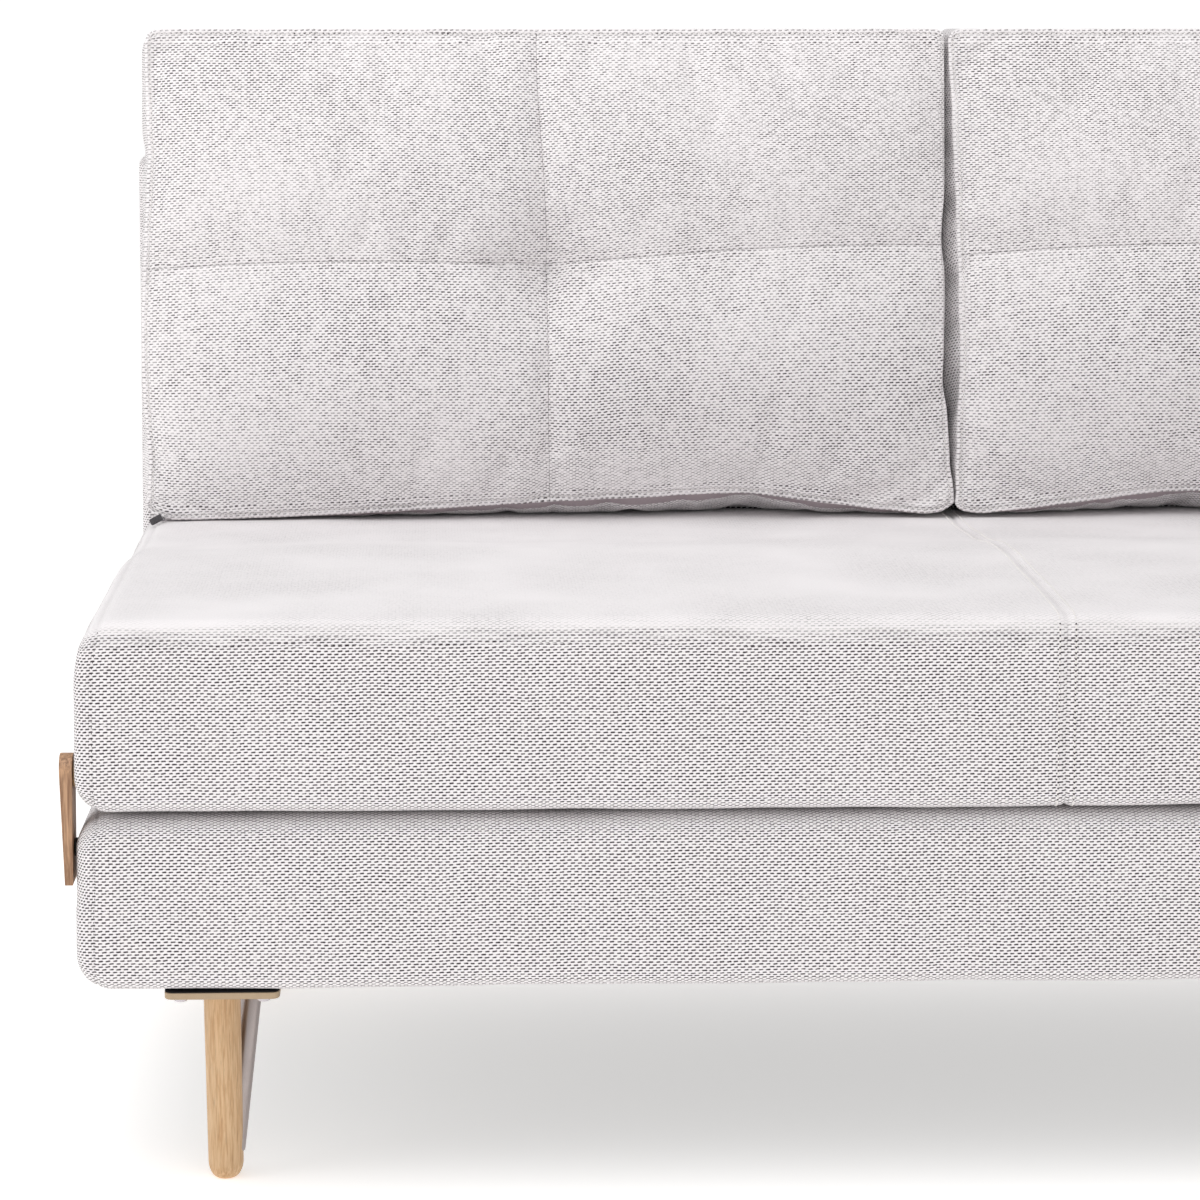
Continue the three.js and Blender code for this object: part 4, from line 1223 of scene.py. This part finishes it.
def eased_copy(node, name, material, body, width):
    """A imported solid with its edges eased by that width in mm, as a plane or a file would leave them."""
    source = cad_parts[node]
    mesh = source.data.copy()
    mesh.transform(source.matrix_world)
    mesh.materials.clear()
    mesh.materials.append(finish(material))
    shape = bmesh.new()
    shape.from_mesh(mesh)
    bmesh.ops.remove_doubles(shape, verts=shape.verts, dist=0.01 * MM)
    bmesh.ops.dissolve_limit(
        shape, angle_limit=math.radians(0.5), verts=shape.verts, edges=shape.edges,
        use_dissolve_boundaries=False,
    )
    for face in shape.faces:
        face.smooth = True
        face.material_index = 0
    shape.to_mesh(mesh)
    shape.free()
    piece = bpy.data.objects.new(name, mesh)
    bpy.context.scene.collection.objects.link(piece)
    ease = piece.modifiers.new("ease", "BEVEL")
    ease.width, ease.segments, ease.limit_method = width * MM, 2, "ANGLE"
    ease.angle_limit = math.radians(35)
    piece.modifiers.new("even", "WEIGHTED_NORMAL").keep_sharp = True
    apply_modifiers(piece)
    return settle(piece, body, node)


def pin(node, name, material, body, side, profile, socket=0.0):
    """A turned piece in place of a node that lies along X, made outwards from the middle of the sofa.

    profile(reach, radius) gives its profile from the node's length and half height, in mm.
    """
    low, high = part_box(node)
    middle = (low + high) / 2
    origin = Vector((low.x if side > 0 else high.x, middle.y, middle.z))
    turned = profile((high.x - low.x) / MM, (high.z - low.z) / 2 / MM)
    return hard_piece(name, turned_shape(origin, Vector((side, 0, 0)), turned, socket), material, body, node)


def bolt(node, name, body, side, head, ease):
    """A bolt with a hexagon socket, all in mm: its head's height and its eased edge.

    The edge runs from ease[0] below the end of the head to ease[1] below it, and ease[2] inwards.
    """
    def profile(reach, radius):
        start = reach - head
        edge = [(reach - ease[0], radius), (reach - ease[1], radius - ease[2])]
        return [(0, 5), (1, 6), (start, 6), (start, radius), *edge, (reach, 6)]

    return pin(node, name, "satin_steel", body, side, profile, 3)


class SOFA_OT_zip_pulls(bpy.types.Operator):
    """Make the zip sliders with their tabs at the lower outer corners of the cushions"""

    bl_idname = "sofa.zip_pulls"
    bl_label = "Zip pulls"

    # How far the tab is turned on its side and hangs down, and where it hangs on the slider, in mm
    TAB_TURN, TAB_HANG = math.radians(70), math.radians(28)
    TAB_HINGE = (-0.5, -7.5, 5.2)

    def execute(self, context):
        for hand, side in SIDES.items():
            low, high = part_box("zip_pull_" + hand)
            neck = Vector(((low.x + high.x) / 2, high.y - 6 * MM, low.z))
            body = plate_shape(neck + mm(-3, -1, 0), neck + mm(3, 6, 2.2), 1.6, 0.5)
            bridge = plate_shape(neck + mm(-1.2, 0, 2.2), neck + mm(1.2, 5, 3.4), 0.9, 0.4)
            hard_piece("zip_slider_" + hand, joined([body, bridge]), "die_cast_zinc", "cushion_" + hand)
            # The tab lies flat at first, with four ribs across it
            tab = [plate_shape(mm(0, -3.2, -1.2), mm(12.5, 3.2, 1.2), 1.2, 0.4)]
            for row in range(4):
                rib = mm(1.6 + 2.4 * row, -2.3, 1.0)
                tab.append(plate_shape(rib, rib + mm(1.2, 4.6, 0.7), 0.5, 0.3))
            vertices, faces = joined(tab)
            turn = Matrix.Rotation(self.TAB_HANG, 3, "Y") @ Matrix.Rotation(self.TAB_TURN, 3, "X")
            hinge = neck + mm(side * self.TAB_HINGE[0], *self.TAB_HINGE[1:])
            mirror = Vector((side, 1, 1))
            placed = [hinge + mirror * (turn @ vertex) for vertex in vertices]
            shape = placed, [face[::side] for face in faces]
            hard_piece("zip_tab_" + hand, shape, "moulded_nylon", "cushion_" + hand, "zip_pull_" + hand)
        return {"FINISHED"}


class SOFA_OT_legs(bpy.types.Operator):
    """Make the four turned legs with their plates, gaskets, screws and slanted steel braces"""

    bl_idname = "sofa.legs"
    bl_label = "Legs"

    # The leg's radius at its top, above its tip and on the floor, and how far it stands and leans outward
    TOP_RADIUS, FOOT_RADIUS, FLAT_RADIUS = 15.4, 14.6, 6
    FOOT_SHIFT, LEAN = 1.6, 2.5
    TIP_STEPS = 12
    # The plate's corners, the pad over it, and how far its screws stand in from its ends and its edges
    PLATE_CORNER, PAD, SCREW_ENDS, SCREW_EDGES = 7, 0.7, 13, 7.5
    SCREW_HEAD = ((-1.0, 5.6), (1.2, 5.8), (2.4, 5.0), (3.0, 3.6), (3.2, 2.4))
    # The brace: its radius, its two ends from the leg's middle, and the collar where it meets the plate
    BRACE_RADIUS = 9
    BRACE_TOP, BRACE_FOOT = (21.5, 42, 176), (5, 0, 21)
    COLLAR = ((0, 12.5), (1.2, 12.5), (2.2, 11.6), (2.8, 9.6))
    COLLAR_SINK = 0.3

    def execute(self, context):
        for place, inward, toward in CORNERS:
            self.leg(place)
            self.plate(place)
            self.brace(place, inward, toward)
        return {"FINISHED"}

    def leg(self, place):
        """A turned oak leg with a round tip, which leans in a little towards its foot."""
        low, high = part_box("leg_" + place)
        height = (high.z - low.z) / MM
        profile = [(0, self.FLAT_RADIUS * 0.7)]
        for step in range(self.TIP_STEPS + 1):
            turn = math.pi / 2 * step / self.TIP_STEPS
            swell = (self.FOOT_RADIUS - self.FLAT_RADIUS) * math.sin(turn)
            profile.append((self.FOOT_RADIUS * (1 - math.cos(turn)), self.FLAT_RADIUS + swell))
        profile += [(height - 1.2, self.TOP_RADIUS), (height, self.TOP_RADIUS - 1.0)]
        middle = (low + high) / 2
        outward = math.copysign(1, middle.x)
        origin = Vector((middle.x, middle.y, low.z)) + mm(outward * self.FOOT_SHIFT, 0, 0.1)
        shape = turned_shape(origin, Vector((outward * self.LEAN, 0, height)).normalized(), profile)
        hard_piece("oak_leg_" + place, shape, "oiled_oak", "base", "leg_" + place)

    def plate(self, place):
        """The lacquered plate, the black pad over it and its four screws."""
        low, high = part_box("leg_plate_" + place)
        pad = mm(0, 0, self.PAD)
        steel = plate_shape(low, high - pad, self.PLATE_CORNER, 0.7)
        hard_piece("plate_" + place, steel, "bronze_lacquered_steel", "base", "leg_plate_" + place)
        rubber = plate_shape(Vector((low.x, low.y, high.z)) - pad, high, self.PLATE_CORNER, 0.3)
        hard_piece("gasket_" + place, rubber, "foam_rubber", "base")
        inset = mm(self.SCREW_ENDS, self.SCREW_EDGES, 0)
        first, last = low + inset, high - inset
        screws = [
            turned_shape(Vector((x, y, low.z)), Vector((0, 0, -1)), self.SCREW_HEAD, 1.7, SCREW_STEPS)
            for x in (first.x, last.x) for y in (first.y, last.y)
        ]
        hard_piece("plate_screws_" + place, joined(screws), "satin_steel", "base")

    def brace(self, place, inward, toward):
        """The slanted tube from the leg's foot up to the plate."""
        low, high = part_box("leg_" + place)
        centre = Vector(((low.x + high.x) / 2, (low.y + high.y) / 2, 0))
        top, foot = [centre + mm(inward * x, toward * y, z) for x, y, z in (self.BRACE_TOP, self.BRACE_FOOT)]
        along = (top - foot).normalized()
        radius = self.BRACE_RADIUS
        reach = (high.z - foot.z) / along.z / MM - radius * 0.3
        profile = [(0, radius * 0.5), (1.5, radius * 0.92), (3.5, radius), (reach, radius)]
        tube = turned_shape(foot, along, profile)
        hard_piece("brace_tube_" + place, tube, "satin_nickel", "base", "leg_brace_" + place)
        seat = foot + along * ((high.z + self.COLLAR_SINK * MM - foot.z) / along.z)
        ring = turned_shape(seat, Vector((0, 0, -1)), self.COLLAR)
        hard_piece("brace_collar_" + place, ring, "satin_nickel", "base")


class SOFA_OT_side_links(bpy.types.Operator):
    """Make the short side links at the front with their dowels and pins"""

    bl_idname = "sofa.side_links"
    bl_label = "Side links"

    # How far the spigot of a dowel or a pin reaches into the link, and its radius, in mm
    SPIGOT = 5

    def execute(self, context):
        for hand, side in SIDES.items():
            eased_copy("side_link_" + hand, "link_timber_" + hand, "stained_walnut", "links", 0.9)
            pin("link_dowel_" + hand, "dowel_turned_" + hand, "turned_beech", "seat", side, self.dowel)
            pin("link_pin_" + hand, "pin_headed_" + hand, "blackened_steel", "base", side, self.headed)
        return {"FINISHED"}

    def dowel(self, reach, radius):
        """A dowel that widens towards the link, with its spigot."""
        shoulder = reach - self.SPIGOT
        return [(0, 7), (1, 8), (shoulder - 1, radius), (shoulder, radius - 0.8), *self.spigot(reach)]

    def headed(self, reach, radius):
        """A slim pin with a head under the link, and its spigot."""
        shoulder = reach - self.SPIGOT
        head = [(shoulder - 4, radius), (shoulder - 0.6, radius), (shoulder, radius - 0.6)]
        return [(0, 5), (1, 6), (shoulder - 4, 6), *head, *self.spigot(reach)]

    def spigot(self, reach):
        """The end of a profile that sits in the link's bore."""
        return [(reach - self.SPIGOT, self.SPIGOT), (reach, self.SPIGOT)]


class SOFA_OT_bed_legs(bpy.types.Operator):
    """Make the two fold-out legs on the sides of the upper section, with their bolts"""

    bl_idname = "sofa.bed_legs"
    bl_label = "Fold-out legs"

    def execute(self, context):
        for hand, side in SIDES.items():
            body = "bed_leg_" + hand
            eased_copy(body, "folding_leg_" + hand, "oiled_oak_long", body, 1.2)
            low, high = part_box(body)
            outer = Vector((high.x, low.y, high.z)) + mm(-0.6, 4, -0.8)
            glide = plate_shape(low + mm(0.6, -0.3, 0.8), outer, 1.5, 0.6)
            hard_piece("folding_leg_glide_" + hand, glide, "foam_rubber", body)
            bolt("bed_leg_bolt_" + hand, "folding_leg_bolt_" + hand, "seat", side, 1.8, (0.7, 0.1, 0.9))
        return {"FINISHED"}


class SOFA_OT_hinges(bpy.types.Operator):
    """Make the click clack hinges: toothed plates, arms, pawls, pivot bolts and their screws"""

    bl_idname = "sofa.hinges"
    bl_label = "Click clack hinges"

    PARTS = (
        ("fixed", "base", "blackened_steel"),
        ("moving", "back", "blackened_steel"),
        ("pawl", "back", "satin_steel"),
    )
    # Screws of the fixed plate from its lower front corner, and of the arm down from its upper end, in mm
    FOOT_SCREWS = ((14, 14), (14, 62), (75, 14))
    ARM_SCREWS = (16, 58)
    SCREW_HEAD = ((-0.5, 4.6), (0.5, 4.6), (1.5, 3.8), (2.0, 2.4))

    def execute(self, context):
        for hand, side in SIDES.items():
            for part, body, material in self.PARTS:
                eased_copy(f"hinge_{part}_{hand}", f"click_hinge_{part}_{hand}", material, body, 0.5)
            bolt("hinge_bolt_" + hand, "click_hinge_bolt_" + hand, "back", side, 3.6, (0.9, 0.2, 1.0))
            low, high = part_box("hinge_fixed_" + hand)
            outer = high.x if side > 0 else low.x
            feet = [Vector((outer, low.y, low.z)) + mm(0, y, z) for y, z in self.FOOT_SCREWS]
            self.screws("click_hinge_foot_screws_" + hand, "base", side, feet)
            low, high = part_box("hinge_moving_" + hand)
            upper = Vector((high.x if side > 0 else low.x, (low.y + high.y) / 2, high.z))
            arm = [upper - mm(0, 0, z) for z in self.ARM_SCREWS]
            self.screws("click_hinge_arm_screws_" + hand, "back", side, arm)
        return {"FINISHED"}

    def screws(self, name, body, side, places):
        """Pan head screws that face outwards."""
        out = Vector((side, 0, 0))
        shapes = [turned_shape(place, out, self.SCREW_HEAD, 1.5, SCREW_STEPS) for place in places]
        hard_piece(name, joined(shapes), "satin_steel", body)


class SOFA_OT_inside(bpy.types.Operator):
    """Give the rails, webbing, spring core and dust cloth inside the sections their finishes"""

    bl_idname = "sofa.inside"
    bl_label = "Frames and springs"

    FINISHES = {
        "sawn_pine": ("lower_rail_front", "lower_rail_rear", "upper_rail_front", "upper_rail_rear",
                      "back_rail_bottom", "back_rail_top"),
        "sawn_pine_cross": ("lower_rail_left", "lower_rail_right", "lower_cross_rail",
                            "upper_rail_left", "upper_rail_right"),
        "sawn_pine_upright": ("back_rail_left", "back_rail_right"),
        "elastic_webbing": ("lower_webbing", "back_webbing"),
        "needled_felt": ("upper_spring_core",),
        "spunbond_cloth": ("dust_cover",),
    }

    def execute(self, context):
        for material, nodes in self.FINISHES.items():
            for node in nodes:
                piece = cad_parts[node]
                for slot in piece.material_slots:
                    slot.material = finish(material)
        return {"FINISHED"}


class SOFA_OT_stage(bpy.types.Operator):
    """Set up the camera of the photograph, the pale floor and the soft studio light"""

    bl_idname = "sofa.stage"
    bl_label = "Stage"

    FLOOR_REACH = 30
    # Place, target and size of the softboxes
    OVERHEAD = ((-0.6, -1.0, 3.2), (0.0, -0.1, 0.5), 3.2)
    LEFT = ((-3.9, -1.7, 1.7), (-0.3, 0.0, 0.4), 2.0)

    def execute(self, context):
        scene, settings = context.scene, context.scene.sofa.stage
        lens = bpy.data.cameras.new("photo_camera")
        lens.sensor_width = SENSOR
        lens.lens = FOCAL_PIXELS / PHOTO_SIDE * SENSOR
        lens.shift_x, lens.shift_y = CAMERA_SHIFT
        lens.clip_end = 100
        camera = bpy.data.objects.new("photo_camera", lens)
        camera.location = CAMERA_PLACE
        camera.rotation_euler = (math.pi / 2 - CAMERA_PITCH, 0, -CAMERA_YAW)
        scene.collection.objects.link(camera)
        scene.camera = camera
        reach = self.FLOOR_REACH
        corners = [Vector((x * reach, y * reach, 0)) for x, y in ((-1, -1), (1, -1), (1, 1), (-1, 1))]
        floor = new_piece("studio_floor", corners, [[0, 1, 2, 3]], "painted_floor")
        floor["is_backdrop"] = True
        self.softbox("softbox_overhead", *self.OVERHEAD, settings.overhead)
        self.softbox("softbox_left", *self.LEFT, settings.side)
        room = bpy.data.worlds.new("white_room")
        room.use_nodes = True
        tree = room.node_tree
        direction = add_node(tree, "TexCoord").outputs["Generated"]
        rise = add_node(tree, "SeparateXYZ", {0: direction}).outputs["Z"]
        # The walls fade to the ceiling a little above the horizon
        fade = {"To Min": settings.horizon, "To Max": settings.sky}
        fall = add_node(tree, "MapRange", {"Value": rise, "From Min": 0.03, "From Max": 0.12, **fade})
        sky = tree.nodes["Background"]
        sky.inputs["Color"].default_value = (1, 1, 1, 1)
        tree.links.new(fall.outputs[0], sky.inputs["Strength"])
        scene.world = room
        scene.view_settings.view_transform = "Standard"
        return {"FINISHED"}

    def softbox(self, name, place, target, size, power):
        """A square area light that faces a point."""
        light = bpy.data.lights.new(name, "AREA")
        light.shape, light.size, light.energy = "SQUARE", size, power
        lamp = bpy.data.objects.new(name, light)
        lamp.location = place
        lamp.rotation_euler = (Vector(target) - Vector(place)).to_track_quat("-Z", "Y").to_euler()
        bpy.context.scene.collection.objects.link(lamp)


class SOFA_PT_panel(bpy.types.Panel):
    """The sofa bed's operators in the sidebar of the 3D view"""

    bl_label = "Sofa bed"
    bl_idname = "SOFA_PT_panel"
    bl_space_type = "VIEW_3D"
    bl_region_type = "UI"
    bl_category = "Sofa bed"

    def draw(self, context):
        for operator in OPERATORS:
            self.layout.operator(operator.bl_idname)
        for group in ("fabric", "section", "cushion", "timber", "metal", "stage"):
            settings = getattr(context.scene.sofa, group)
            box = self.layout.box()
            box.label(text=group.title())
            for name in settings.bl_rna.properties.keys():
                if name not in ("rna_type", "name"):
                    box.prop(settings, name)


SETTINGS = (
    FabricSettings, SectionSettings, CushionSettings, TimberSettings, MetalSettings, StageSettings,
    SofaSettings,
)
OPERATORS = (
    SOFA_OT_stage, SOFA_OT_sections, SOFA_OT_back, SOFA_OT_cushions, SOFA_OT_zip_pulls, SOFA_OT_legs,
    SOFA_OT_side_links, SOFA_OT_bed_legs, SOFA_OT_hinges, SOFA_OT_inside,
)


def register():
    """Adds the settings, the operators and the panel to Blender."""
    for group in (*SETTINGS, *OPERATORS, SOFA_PT_panel):
        bpy.utils.register_class(group)
    bpy.types.Scene.sofa = PointerProperty(type=SofaSettings)


def unregister():
    """Takes them away again."""
    del bpy.types.Scene.sofa
    for group in reversed((*SETTINGS, *OPERATORS, SOFA_PT_panel)):
        bpy.utils.unregister_class(group)


def main():
    """Makes the whole sofa bed."""
    register()
    bpy.ops.sofa.stage()
    bpy.ops.sofa.sections()
    bpy.ops.sofa.back()
    bpy.ops.sofa.cushions()
    bpy.ops.sofa.zip_pulls()
    bpy.ops.sofa.legs()
    bpy.ops.sofa.side_links()
    bpy.ops.sofa.bed_legs()
    bpy.ops.sofa.hinges()
    bpy.ops.sofa.inside()
    boxes = {"cad": CAD_BOX, "visual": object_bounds()}
    {name: [list(corner) for corner in box] for name, box in boxes.items()}


if __name__ == "__main__":
    main()
